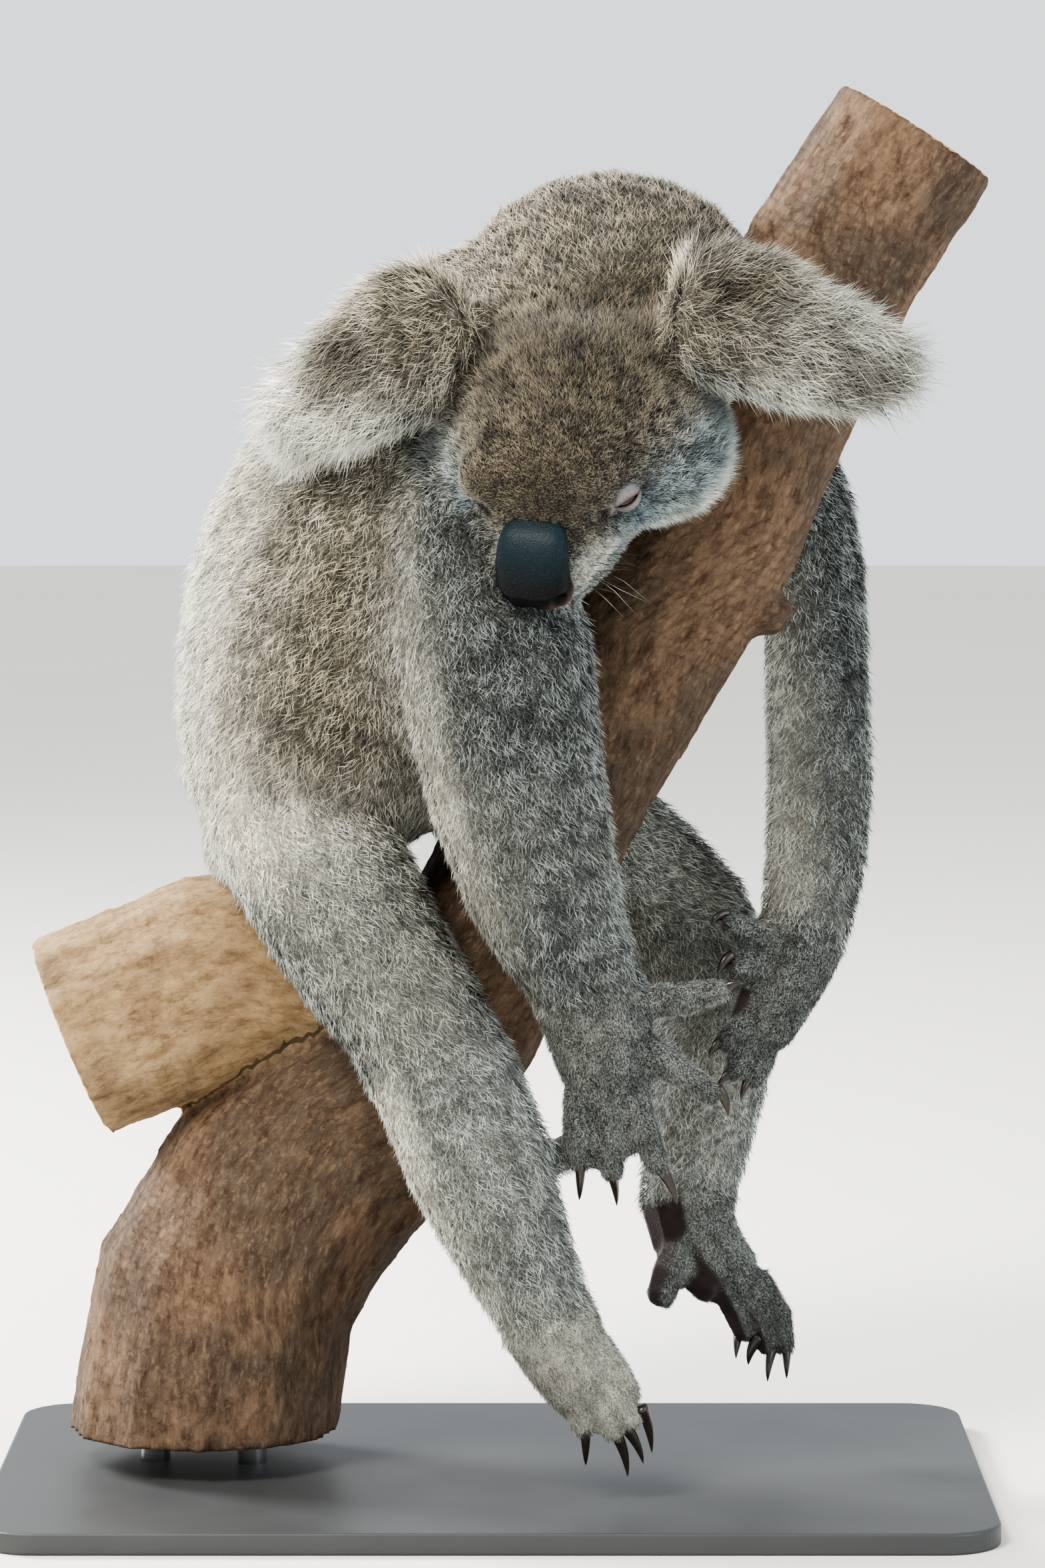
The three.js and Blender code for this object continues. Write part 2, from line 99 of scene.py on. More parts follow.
# The way the coat lies on each part, in the row frame, and how far it fans off the part's axis.
LIE = {
    "head": ((40, -72, 494), (0, 0, 0), 0.0),
    "neck": ((56, -20, 560), (-10, 75, 40), 0.0),
    "trunk": ((52, 40, 540), (-147, -38, -238), 0.0),
    "ear_left": ((84, -88, 551), (100, 0, -22), 0.9),
    "ear_right": ((-12, -66, 547), (-80, 5, -46), 0.9),
    "upper_arm_right": ((-14, -44, 466), (24, -38, -120), 0.0),
    "forearm_right": ((10, -82, 346), (36, 2, -103), 0.0),
    "hand_right": ((46, -80, 243), (12, 0, -60), 0.0),
    "upper_arm_left": ((104, 68, 512), (50, -10, -144), 0.0),
    "forearm_left": ((155, 54, 368), (-8, -45, -108), 0.0),
    "hand_left": ((147, 9, 260), (-24, -12, -50), 0.0),
    "thigh_right": ((-92, -30, 322), (66, -50, -104), 0.0),
    "shank_right": ((-26, -80, 218), (53, -5, -124), 0.0),
    "foot_right": ((27, -85, 94), (22, 2, -50), 0.0),
    "thigh_left": ((-2, 74, 330), (106, -4, -86), 0.0),
    "shank_left": ((104, 70, 244), (-11, -36, -114), 0.0),
    "foot_left": ((93, 34, 130), (26, -8, -50), 0.0),
}
FLESH = sorted(LIE)
# The way the bare sole or palm of each paw faces, and how much of the paw it takes.
SOLES = {
    "hand_right": ((0.1, 1.0, 0), 0.80), "hand_left": ((-0.85, -0.5, 0.1), 0.84),
    "foot_right": ((0.2, 0.97, -0.1), 0.80), "foot_left": ((-0.75, -0.55, -0.35), 0.55),
}
# The coat's pieces: the nodes each one covers, the shape of its tufts, how much thinner it is, and how
# far its tufts differ in shade.
COATS = {
    "coat_head": (["head"], "short", 1.0, 0.48),
    "coat_neck": (["neck"], "bent", 1.0, 0.40),
    "coat_trunk": (["trunk"], "bent", 1.0, 0.36),
    "coat_ear_left": (["ear_left"], "bent", 1.0, 0.50),
    "coat_ear_right": (["ear_right"], "bent", 1.0, 0.50),
    "coat_arm_right": (["upper_arm_right", "forearm_right"], "bent", 1.0, 0.40),
    "coat_arm_left": (["upper_arm_left", "forearm_left"], "bent", 1.06, 0.40),
    "coat_leg_right": (["thigh_right", "shank_right"], "bent", 1.0, 0.40),
    "coat_leg_left": (["thigh_left", "shank_left"], "bent", 1.06, 0.40),
    "coat_paws": (["hand_right", "hand_left", "foot_right", "foot_left"], "short", 1.0, 0.36),
}
PIECE_LIMIT = 196_000                  # triangles in one piece of the coat

# Perch: the stem's and the branch's middle lines in mm, and where they were sawn.
STEM = [
    (-137, 10, 0), (-131, 10, 55), (-120, 10, 103), (-88, 10, 148), (-42, 8, 192), (-5, 6, 248),
    (24, 4, 310), (57, 0, 370), (93, 0, 429), (122, 0, 497), (153, 0, 564), (197, 0, 632),
]
BRANCH = [(-46, 10, 236), (-88, 10, 246), (-128, 9, 239), (-196, 6, 211)]


# ------------------------------------------------------------------ small tools

def linear(code, alpha=1.0):
    """A colour written as sRGB hex, in linear light."""
    parts = [int(code[i:i + 2], 16) / 255 for i in (1, 3, 5)]
    return [c / 12.92 if c <= 0.04045 else ((c + 0.055) / 1.055) ** 2.4 for c in parts] + [alpha]


def add(tree, kind, values=None, links=None, **settings):
    """Adds a node with its settings, the values of its inputs and the sockets linked into them."""
    made = tree.nodes.new(kind)
    for key, value in settings.items():
        setattr(made, key, value)
    for key, value in (values or {}).items():
        made.inputs[key].default_value = value
    for key, socket in (links or {}).items():
        tree.links.new(socket, made.inputs[key])
    return made


def mixed(tree, factor, first, second):
    """A colour between two, each a hex code, a setting or a socket, by a factor socket."""
    made = add(tree, "ShaderNodeMix", data_type="RGBA")
    tree.links.new(factor, made.inputs["Factor"])
    for slot, colour in (("A", first), ("B", second)):
        socket = next(s for s in made.inputs if s.name == slot and s.type == "RGBA")
        if isinstance(colour, bpy.types.NodeSocket):
            tree.links.new(colour, socket)
        else:
            socket.default_value = linear(colour) if isinstance(colour, str) else colour
    return next(s for s in made.outputs if s.type == "RGBA")


def smooth(low, high, value):
    """0 below low, 1 above high, and an even ramp between them."""
    t = np.clip((np.asarray(value, float) - low) / (high - low), 0, 1)
    return t * t * (3 - 2 * t)


def unit(vectors):
    """Vectors at unit length."""
    return vectors / np.maximum(np.linalg.norm(vectors, axis=-1, keepdims=True), 1e-12)


def flat_to(vectors, normals):
    """Vectors laid down on the surface with these normals, at unit length."""
    return unit(vectors - normals * np.sum(vectors * normals, axis=1, keepdims=True))


def head_point(left, forward, up):
    """A place given in the head's frame in mm, in the row frame."""
    return HEAD_FRAME @ (Vector((left, -forward, up)) * MM)


def head_way(left, forward, up):
    """A direction given in the head's frame, in the row frame."""
    return (HEAD_FRAME.to_3x3() @ Vector((left, -forward, up))).normalized()


def read(items, name, width, kind=float):
    """One property of many items, as an array of `width` columns."""
    out = np.zeros(len(items) * width, np.float32 if kind is float else np.int32)
    items.foreach_get(name, out)
    return out.reshape(-1, width) if width > 1 else out


def in_scene(name, data):
    """A new object, linked into the scene."""
    made = bpy.data.objects.new(name, data)
    bpy.context.scene.collection.objects.link(made)
    return made


def piece(name, mesh, material, replaced=()):
    """Puts a finished mesh in the scene as a piece of the model."""
    made = in_scene(name, mesh)
    for item in material if isinstance(material, (list, tuple)) else [material]:
        mesh.materials.append(item)
    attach(made, "root")
    if replaced:
        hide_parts(*replaced)
    return made


def mesh_from(bm, name, smooth_shaded=True):
    """A mesh from a bmesh, facing outwards; the bmesh is freed."""
    bmesh.ops.recalc_face_normals(bm, faces=bm.faces)
    mesh = bpy.data.meshes.new(name)
    bm.to_mesh(mesh)
    bm.free()
    mesh.polygons.foreach_set("use_smooth", [smooth_shaded] * len(mesh.polygons))
    return mesh


def mesh_from_arrays(name, points, triangles):
    """A mesh from an array of points and one of triangles."""
    mesh = bpy.data.meshes.new(name)
    mesh.vertices.add(len(points))
    mesh.vertices.foreach_set("co", points.astype(np.float32).ravel())
    mesh.loops.add(3 * len(triangles))
    mesh.loops.foreach_set("vertex_index", triangles.astype(np.int32).ravel())
    mesh.polygons.add(len(triangles))
    mesh.polygons.foreach_set("loop_start", np.arange(0, 3 * len(triangles), 3, dtype=np.int32))
    mesh.update(calc_edges=True)
    return mesh


def moved(mesh, points):
    """Puts a mesh's vertices at points; returns their new normals."""
    mesh.vertices.foreach_set("co", points.astype(np.float32).ravel())
    mesh.update()
    return read(mesh.vertices, "normal", 3).astype(float)


def arrays_of(mesh):
    """The places and the normals of a mesh's vertices, and its edges."""
    points, normals = (read(mesh.vertices, key, 3).astype(float) for key in ("co", "normal"))
    return points, normals, read(mesh.edges, "vertices", 2, int)


def keep(mesh, name, kind, values):
    """Keeps a value for each vertex as an attribute of the mesh."""
    key = {"FLOAT_VECTOR": "vector", "FLOAT_COLOR": "color"}.get(kind, "value")
    made = mesh.attributes.new(name, kind, "POINT")
    made.data.foreach_set(key, np.asarray(values, np.int32 if kind == "INT" else np.float32).ravel())


def nearest_tree(points):
    """A tree that finds the nearest of some points."""
    tree = KDTree(len(points))
    for index, point in enumerate(points):
        tree.insert(point, index)
    tree.balance()
    return tree


def gap_to(surface, points):
    """Distance in mm from points to a surface."""
    return np.array([surface.find_nearest(p)[3] or 1.0 for p in points]) / MM


def rise_of(edge):
    """How far one end of an edge is above the other."""
    return abs(edge.verts[0].co.z - edge.verts[1].co.z)


def merged_copy(nodes):
    """A bmesh with copies of CAD nodes, each welded into a closed shell."""
    bm = bmesh.new()
    for name in nodes:
        bm.from_mesh(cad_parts[name].data)
    bmesh.ops.remove_doubles(bm, verts=bm.verts, dist=1e-6)
    return bm


def remeshed(bm, voxel):
    """The shells of a bmesh run together into one even mesh; its largest body as a new bmesh."""
    mesh = bpy.data.meshes.new("run_together")
    bm.to_mesh(mesh)
    bm.free()
    holder = in_scene("run_together", mesh)
    modifier = holder.modifiers.new("voxels", "REMESH")
    modifier.mode = "VOXEL"
    modifier.voxel_size = voxel
    done = bpy.data.meshes.new_from_object(holder.evaluated_get(bpy.context.evaluated_depsgraph_get()))
    out = bmesh.new()
    out.from_mesh(done)
    bpy.data.objects.remove(holder)
    bpy.data.meshes.remove(done)
    bpy.data.meshes.remove(mesh)
    keep_largest(out)
    return out


def keep_largest(bm):
    """Leaves only the body with the most vertices."""
    left = set(bm.verts)
    bodies = []
    while left:
        body = {left.pop()}
        front = list(body)
        while front:
            for edge in front.pop().link_edges:
                for vert in edge.verts:
                    if vert in left:
                        left.discard(vert)
                        body.add(vert)
                        front.append(vert)
        bodies.append(body)
    largest = max(bodies, key=len)
    bmesh.ops.delete(bm, geom=[v for v in bm.verts if v not in largest], context="VERTS")


def averaged(values, edges):
    """For each vertex, the mean of its neighbours' values."""
    a, b = edges.T
    size = len(values)
    count = np.maximum(np.bincount(edges.ravel(), minlength=size), 1)
    columns = values.reshape(size, -1).T
    total = [np.bincount(a, c[b], size) + np.bincount(b, c[a], size) for c in columns]
    return (np.stack(total, 1) / count[:, None]).reshape(values.shape)


def spread(values, edges, rounds):
    """Values smoothed over the mesh."""
    for _ in range(rounds):
        values = 0.5 * (values + averaged(values, edges))
    return values


def relaxed(points, edges, rounds, weight=1.0):
    """Points smoothed without shrinking the shape."""
    for _ in range(rounds):
        for step in (0.5, -0.52):
            points = points + step * weight * (averaged(points, edges) - points)
    return points


def roughened(points, size, seed=0):
    """Smooth noise from -1 to 1 at points, with bumps about `size` mm across."""
    scale = 1 / (size * MM)
    shift = Vector((seed * 7.3, seed * 3.1, seed * 5.7))
    return np.array([noise.noise(Vector(p) * scale + shift) for p in points])


def unwrap(mesh, margin=0.002):
    """Unwraps a mesh by its own shape into a map named OFBake."""
    holder = in_scene("unwrapping", mesh)
    mesh.uv_layers.new(name="OFBake")
    bpy.context.view_layer.objects.active = holder
    bpy.ops.object.mode_set(mode="EDIT")
    bpy.ops.mesh.select_all(action="SELECT")
    bpy.ops.uv.smart_project(angle_limit=math.radians(66), island_margin=margin)
    bpy.ops.object.mode_set(mode="OBJECT")
    bpy.data.objects.remove(holder)


# ------------------------------------------------------------------ settings

def number(name, about, value, **limits):
    """A number that a user may change, with its limits and its unit or subtype."""
    return bpy.props.FloatProperty(name=name, description=about, default=value, **limits)


def metres(name, about, value, least=0.0):
    """A length that a user may change."""
    return number(name, about, value, unit="LENGTH", min=least)


def hue(name, about, code):
    """A colour that a user may change, written as sRGB hex."""
    return bpy.props.FloatVectorProperty(
        name=name, description=about, subtype="COLOR", size=4, default=linear(code))


class CoatSettings(bpy.types.PropertyGroup):
    length: number("Length", "Length of the coat against the animal's own",
                   1.0, min=0.3, max=2.0, subtype="FACTOR")
    lift: number("Lift", "How far tufts stand off the skin against the animal's own",
                 1.0, min=0.2, max=2.0, subtype="FACTOR")
    clump: metres("Clump", "Distance between the middles of two locks", 0.0075, 0.002)
    grey: hue("Grey", "Tips of the grey coat", "#cfcbbb")
    tan: hue("Tan", "Tips of the warm coat", "#d8c39c")
    blue_grey: hue("Blue grey", "Tips of the cool coat", "#9fbac4")
    cream: hue("Cream", "Tips of the pale coat", "#f3f6ee")
    root: hue("Roots", "Roots of the grey coat", "#2c261f")


class SkinSettings(bpy.types.PropertyGroup):
    voxel: metres("Detail", "Size of the skin's squares", 0.0033, 0.002)
    lid_opening: number("Lid opening", "Half the opening between the lids", math.radians(8), unit="ROTATION")
    lid: hue("Lid", "Bare skin of the lids", "#7b7e80")


class NoseSettings(bpy.types.PropertyGroup):
    leather: hue("Leather", "Bare skin of the nose", "#0d0d10")


class ClawSettings(bpy.types.PropertyGroup):
    horn: hue("Horn", "Colour of the claws", "#14110f")


class PerchSettings(bpy.types.PropertyGroup):
    voxel: metres("Detail", "Size of the bark's squares", 0.0026, 0.001)
    ridge: metres("Ridges", "Height of the bark's wrinkles", 0.0011)
    bark: hue("Bark", "Smooth bark", "#806a57")
    wood: hue("Wood", "Sawn ends", "#c9a273")


class StandSettings(bpy.types.PropertyGroup):
    corner: metres("Corner", "Radius of the board's corners", 0.028)
    bevel: metres("Bevel", "Width of the board's rounded edge", 0.0015)
    lacquer: hue("Lacquer", "Colour of the board", "#3b3d3e")


class StageSettings(bpy.types.PropertyGroup):
    distance: metres("Distance", "From the camera to the model", 2.6)
    elevation: number("Elevation", "Of the camera over the model's middle", math.radians(5), unit="ROTATION")
    lens: number("Lens", "Focal length", 128.4, unit="CAMERA")
    floor: hue("Floor", "Colour of the floor", "#e6e3dd")


# ------------------------------------------------------------------ materials

def start(name):
    """A new material and its empty node tree."""
    material = bpy.data.materials.new(name)
    material.use_nodes = True
    material.node_tree.nodes.clear()
    return material, material.node_tree


def finish(material, colour, values, relief=None, rough=None):
    """Ends a material in one shader: its colour, its plain values, its relief as a height with a
    strength and a depth in mm, and its roughness where that varies."""
    tree = material.node_tree
    links = {"Base Color": colour}
    if relief:
        height, strength, depth = relief
        bump = add(tree, "ShaderNodeBump", {"Strength": strength, "Distance": depth * MM}, {"Height": height})
        links["Normal"] = bump.outputs["Normal"]
    if rough:
        links["Roughness"] = rough
    shader = add(tree, "ShaderNodeBsdfPrincipled", values, links)
    add(tree, "ShaderNodeOutputMaterial", links={"Surface": shader.outputs["BSDF"]})
    return material


def kept(tree, name, key="Fac"):
    """A value, a place or a colour kept on the mesh."""
    return add(tree, "ShaderNodeAttribute", attribute_name=name).outputs[key]


def split(tree, name):
    """The red, green and blue of a colour kept on the mesh."""
    parts = add(tree, "ShaderNodeSeparateColor", links={"Color": kept(tree, name, "Color")})
    return [parts.outputs[key] for key in ("Red", "Green", "Blue")]


def in_object(tree):
    """The object's own coordinates."""
    return add(tree, "ShaderNodeTexCoord").outputs["Object"]


def cloudy(tree, across, detail=2.0, rough=0.5, where=None):
    """Noise from 0 to 1 with bumps `across` mm wide, in the object's own coordinates or those given."""
    return add(tree, "ShaderNodeTexNoise",
               {"Scale": 1 / (across * MM), "Detail": detail, "Roughness": rough},
               {"Vector": where or in_object(tree)}).outputs["Fac"]


def ramp(tree, value, low=0.0, high=1.0, least=0.0, most=1.0, **settings):
    """A value between low and high, carried over to between least and most."""
    return add(tree, "ShaderNodeMapRange",
               {"From Min": low, "From Max": high, "To Min": least, "To Max": most},
               {"Value": value}, **settings).outputs["Result"]


def times_plus(tree, value, factor, more):
    """value * factor + more, where more is a number or a socket."""
    linked = isinstance(more, bpy.types.NodeSocket)
    return add(tree, "ShaderNodeMath", {1: factor} if linked else {1: factor, 2: more},
               {0: value, 2: more} if linked else {0: value}, operation="MULTIPLY_ADD").outputs["Value"]


def coat_colours(tree, along, shade):
    """Base colour of the coat: tips and roots of each marking, mixed along and between tufts."""
    coat = bpy.context.scene.koala_coat
    pale, cool, tan = split(tree, "marks")
    tip, root = coat.grey, coat.root
    for factor, colour, under in (
        (tan, coat.tan, "#34281c"), (cool, coat.blue_grey, "#2b3336"), (pale, coat.cream, "#b5b0a2"),
    ):
        tip = mixed(tree, factor, tip, colour)
        root = mixed(tree, factor, root, under)
    tip = mixed(tree, kept(tree, "marks", "Alpha"), tip, "#2a231d")
    light = add(tree, "ShaderNodeMapRange", {"To Max": 1.32},
                {"Value": shade, "To Min": times_plus(tree, pale, 0.55, 0.07)})
    scaled = add(tree, "ShaderNodeVectorMath", operation="SCALE",
                 links={"Vector": mixed(tree, along, root, tip), "Scale": light.outputs["Result"]})
    return scaled.outputs["Vector"]


def fur_material():
    """Guard hair and wool: dark at the root, banded and pale at the tip, with a soft sheen."""
    material, tree = start("koala wool")
    along, shade, _ = split(tree, "tuft")
    along = ramp(tree, along, 0.15, 0.88, interpolation_type="SMOOTHSTEP")
    return finish(material, coat_colours(tree, along, shade), {
        "Roughness": 0.72, "Specular IOR Level": 0.3, "Sheen Weight": 0.25, "Sheen Roughness": 0.45})


def hide_material():
    """Underfur on the hide: matt, woolly and dark between tufts; dark pebbled leather on the soles."""
    material, tree = start("koala underfur")
    # Real wool is under 0.1 mm; drawn at 0.8 mm so that it shows.
    wool = cloudy(tree, 0.8, 3.0, 0.6)
    lock = cloudy(tree, 9)
    wool_colour = coat_colours(tree, ramp(tree, wool, 0.42, 0.75), lock)
    leather = mixed(tree, lock, "#211e20", "#433734")
    return finish(material, mixed(tree, kept(tree, "bare"), wool_colour, leather), {
        "Roughness": 0.85, "Specular IOR Level": 0.2, "Sheen Weight": 0.2, "Sheen Roughness": 0.5,
    }, (wool, 0.8, 0.6))


def lid_material():
    """Thin bare lid: pinkish grey, finely creased and a little moist, dark along its margin."""
    material, tree = start("bare lid skin")
    crease = cloudy(tree, 1.1, 3.0)
    tone = mixed(tree, crease, "#504c4c", bpy.context.scene.koala_skin.lid)
    return finish(material, mixed(tree, kept(tree, "marks", "Alpha"), tone, "#4a2f2a"), {
        "Roughness": 0.42, "Subsurface Weight": 0.15, "Subsurface Scale": 1.5 * MM,
        "Subsurface Radius": (1.0, 0.35, 0.2),
    }, (crease, 0.5, 0.25))


def eye_material():
    """Wet eyeball: near black in its brown iris, with a clear film that takes sharp highlights."""
    material, tree = start("wet eye")
    return finish(material, mixed(tree, cloudy(tree, 0.9), "#0d0908", "#2b1a11"), {
        "Roughness": 0.18, "IOR": 1.376, "Coat Weight": 1.0, "Coat Roughness": 0.03, "Coat IOR": 1.34})


def nose_material():
    """Nose leather: satin charcoal black with a pebbled grain and pale flecks, a painted blue-grey reflection
    on its top and painted shade in its nostrils.
    """
    material, tree = start("nose leather")
    pink, sheen, _ = split(tree, "marks")
    # Real pebbles are about 0.4 mm; drawn at 0.8 mm so that they show.
    pebble = add(tree, "ShaderNodeTexVoronoi", {"Scale": 1 / (0.8 * MM)}, {"Vector": in_object(tree)},
                 feature="F1").outputs["Distance"]
    tone = mixed(tree, cloudy(tree, 7, 3.0), bpy.context.scene.koala_nose.leather, "#121317")
    for factor, colour in (
        # The marks' green is a painted reflection of the sky, blue-grey on the top of the pad.
        (sheen, "#1d2c32"), (pink, "#7d5f5a"),
        (ramp(tree, cloudy(tree, 0.5, 1.0), 0.60, 0.75, most=0.45), "#4a5052"),
        # The marks' alpha is painted shade, near black inside the nostrils.
        (kept(tree, "marks", "Alpha"), "#060606"),
    ):
        tone = mixed(tree, factor, tone, colour)
    return finish(material, tone, {"Roughness": 0.42, "Specular IOR Level": 0.14}, (pebble, 0.55, 0.25))


def horn_material():
    """Claw horn: black and polished by use, with faint growth lines."""
    material, tree = start("claw horn")
    line = cloudy(tree, 1.5)
    colour = mixed(tree, line, bpy.context.scene.koala_claws.horn, "#3a3029")
    return finish(material, colour, {"Roughness": 0.25, "IOR": 1.55}, (line, 0.25, 0.1))


def bristle_material():
    """Stiff face bristle: thin dark hair with a dull shine."""
    material, tree = start("face bristle")
    return finish(material, mixed(tree, split(tree, "tuft")[1], "#16120f", "#d9d6cb"), {"Roughness": 0.4})


def bark_material():
    """Gum bark: tan and grey-brown in short fibrous streaks, with dark wrinkles and pores."""
    material, tree = start("gum bark")
    grain = kept(tree, "grain", "Vector")
    streak = cloudy(tree, 5.5, 7.0, 0.72, grain)
    fibre = cloudy(tree, 2.6, 6.0, 0.78, grain)
    patch = ramp(tree, cloudy(tree, 55, 4.0), 0.40, 0.62, interpolation_type="SMOOTHSTEP")
    near = ramp(tree, streak, 0.32, 0.58)
    tone = mixed(tree, patch, bpy.context.scene.koala_perch.bark, "#62564a")
    tone = mixed(tree, near, "#483529", tone)
    tone = mixed(tree, ramp(tree, fibre, 0.50, 0.74, most=0.6), tone, "#a58c72")
    tone = mixed(tree, kept(tree, "worn"), tone, mixed(tree, near, "#846c50", "#b59c79"))
    colour = mixed(tree, ramp(tree, fibre, 0.42, 0.26, most=0.7), tone, "#3f2d23")
    relief = times_plus(tree, streak, 0.6, fibre)
    return finish(material, colour, {"Roughness": 0.82, "Specular IOR Level": 0.3}, (relief, 1.0, 1.8))


def sawn_material():
    """Sawn gum wood: pale tan with growth rings round the pith, and saw marks."""
    material, tree = start("sawn gum wood")
    radius = times_plus(tree, cloudy(tree, 22), 9 * MM, kept(tree, "ring"))
    turns = add(tree, "ShaderNodeMath", {1: 2 * math.pi / (3.2 * MM)}, {0: radius}, operation="MULTIPLY")
    wave = add(tree, "ShaderNodeMath", operation="SINE", links={0: turns.outputs["Value"]})
    year = ramp(tree, wave.outputs["Value"], -1.0, most=0.55)
    saw = cloudy(tree, 1.3, 3.0)
    tone = mixed(tree, year, bpy.context.scene.koala_perch.wood, "#95683f")
    return finish(material, mixed(tree, saw, tone, "#b58c60"), {"Roughness": 0.78}, (saw, 0.5, 0.3))


def lacquer_material():
    """Board in matt lacquer over fine grain: an even dark grey with a faint orange-peel gloss."""
    material, tree = start("matt lacquered board")
    cloud = cloudy(tree, 60, 3.0)
    colour = mixed(tree, cloud, bpy.context.scene.koala_stand.lacquer, "#454748")
    return finish(material, colour, {}, (cloudy(tree, 2.5), 0.2, 0.05),
                  ramp(tree, cloud, least=0.38, most=0.55))


def steel_material():
    """Brushed stainless rod: bright grey metal, its highlight drawn out by fine turning marks."""
    material, tree = start("brushed stainless steel")
    turn = add(tree, "ShaderNodeMapping", {"Scale": (1, 1, 40)}, {"Vector": in_object(tree)})
    # Turning marks are about 0.1 mm; drawn at 0.5 mm so that they show.
    brush = cloudy(tree, 20, 4.0, where=turn.outputs["Vector"])
    return finish(material, mixed(tree, brush, "#b4b6b8", "#cfd1d2"), {"Metallic": 1.0},
                  (brush, 0.15, 0.05), ramp(tree, brush, least=0.22, most=0.42))


def floor_material():
    """Painted studio floor: pale, matt and very slightly uneven."""
    material, tree = start("painted floor")
    colour = mixed(tree, cloudy(tree, 400, 3.0), bpy.context.scene.koala_stage.floor, "#e0ddd6")
    return finish(material, colour, {"Roughness": 0.7})


# ------------------------------------------------------------------ the skin

def kind_of(node):
    """The zone a node belongs to."""
    return node.removesuffix("_left").removesuffix("_right")


def node_labels(points):
    """For each point, the index in FLESH of the node whose surface is nearest."""
    rng = np.random.default_rng(SEED)
    samples, owner = [], []
    for index, name in enumerate(FLESH):
        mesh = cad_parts[name].data
        corners = read(mesh.vertices, "co", 3)[read(mesh.loops, "vertex_index", 1, int)].reshape(-1, 3, 3)
        first, second = corners[:, 1] - corners[:, 0], corners[:, 2] - corners[:, 0]
        area = np.linalg.norm(np.cross(first, second), axis=1)
        count = max(300, int(area.sum() * 1e5))
        chosen = corners[rng.choice(len(corners), count, p=area / area.sum())]
        weight = rng.dirichlet((1, 1, 1), count)
        samples.append(np.einsum("nk,nkc->nc", weight, chosen))
        owner.append(np.full(count, index))
    cloud, owner = np.concatenate(samples), np.concatenate(owner)
    tree = nearest_tree(cloud)
    return owner[[tree.find(p)[1] for p in points]]


def per_node(labels, values):
    """What values(node) says of the node each point is on."""
    return np.array([values(name) for name in FLESH])[labels]


def zone_values(labels, key):
    """One of the zones' values at each point."""
    return per_node(labels, lambda n: getattr(ZONES[kind_of(n)], key))


def is_ear(labels):
    return per_node(labels, lambda n: n.startswith("ear"))


def head_coords(points):
    """Points as [left, forward, up] in the head's frame, in mm."""
    back = np.array(HEAD_FRAME.inverted())
    local = (points @ back[:3, :3].T + back[:3, 3]) / MM
    return local * (1, -1, 1)


def growth(points, labels):
    """How grown the head's coat is, from 0 at the nose to 1 at the ears; 0 off the head."""
    away = np.linalg.norm(head_coords(points) - NOSE_TIP, axis=1)
    return smooth(14, 125, away) * (labels == FLESH.index("head"))


def on_sole(normals, labels):
    """1 on the bare soles and palms, 0 elsewhere."""
    bare = np.zeros(len(labels))
    for name, (way, least) in SOLES.items():
        facing = normals @ (np.array(way) / np.linalg.norm(way))
        here = labels == FLESH.index(name)
        bare[here] = smooth(least - 0.08, least + 0.08, facing[here])
    return bare


def ear_rim(normals, labels):
    """1 along the rims of the ears, 0 on their flat faces and elsewhere."""
    return is_ear(labels) * (1 - np.abs(normals[:, 1])) ** 1.5


def eyes():
    """Both eyes as (centre, gaze, along the slit towards the outer corner, up), in the row frame."""
    for way in (1, -1):
        left, forward, up = EYE["at"]
        gaze = head_way(way * EYE["gaze"][0], *EYE["gaze"][1:])
        along = head_way(way * EYE["slit"][0], *EYE["slit"][1:])
        along = (along - gaze * along.dot(gaze)).normalized()
        above = gaze.cross(along).normalized()
        if above.dot(head_way(0, 0, 1)) < 0:
            above = -above
        yield head_point(way * left, forward, up), gaze, along, above


def round_eye(points, centre, gaze, along, above):
    """Distance of points from an eye's centre, and how far round it they lie, 1 at the lids' outline."""
    away = points - np.array(centre)
    reach = np.maximum(np.linalg.norm(away, axis=1), 1e-9)
    forward = away @ np.array(gaze)
    wide = np.degrees(np.arctan2(np.abs(away @ np.array(along)), forward))
    high = np.degrees(np.arctan2(away @ np.array(above), forward))
    return reach, np.hypot(wide / 50, np.where(high > 0, high / 16, high / 14))


def sculpt_sockets(points):
    """Sinks the skin round each eye so that the lids lie in a shallow, even hollow."""
    for eye in eyes():
        reach, round_it = round_eye(points, *eye)
        limit = (EYE["radius"] + 0.3 + np.maximum(round_it - 0.8, 0) * 3.0) * MM
        near = (reach < EYE_REACH) & (round_it < EYE_ROUND)
        factor = np.where(near & (reach > limit), limit / reach, 1.0)
        points = np.array(eye[0]) + (points - np.array(eye[0])) * factor[:, None]
    return points


def brow(points):
    """Height in mm of the heavy brow over each eye, the right one pushed up by the arm below it."""
    left, forward, up = head_coords(points).T
    away = ((np.abs(left) - 29) / 9) ** 2 + ((forward - 47) / 14) ** 2 + ((up - 21) / 9) ** 2
    return np.where(left < 0, 10.0, 0.8) * np.exp(-away)


def mouth_line(points):
    """Distance in mm from the line of the closed mouth, large away from it."""
    left, forward, up = head_coords(points).T
    line = -33 + 0.006 * np.maximum(58 - forward, 0) ** 2
    here = (forward > 22) & (np.abs(left) < 34) & (up < -12)
    return np.where(here, np.abs(up - line), 99)


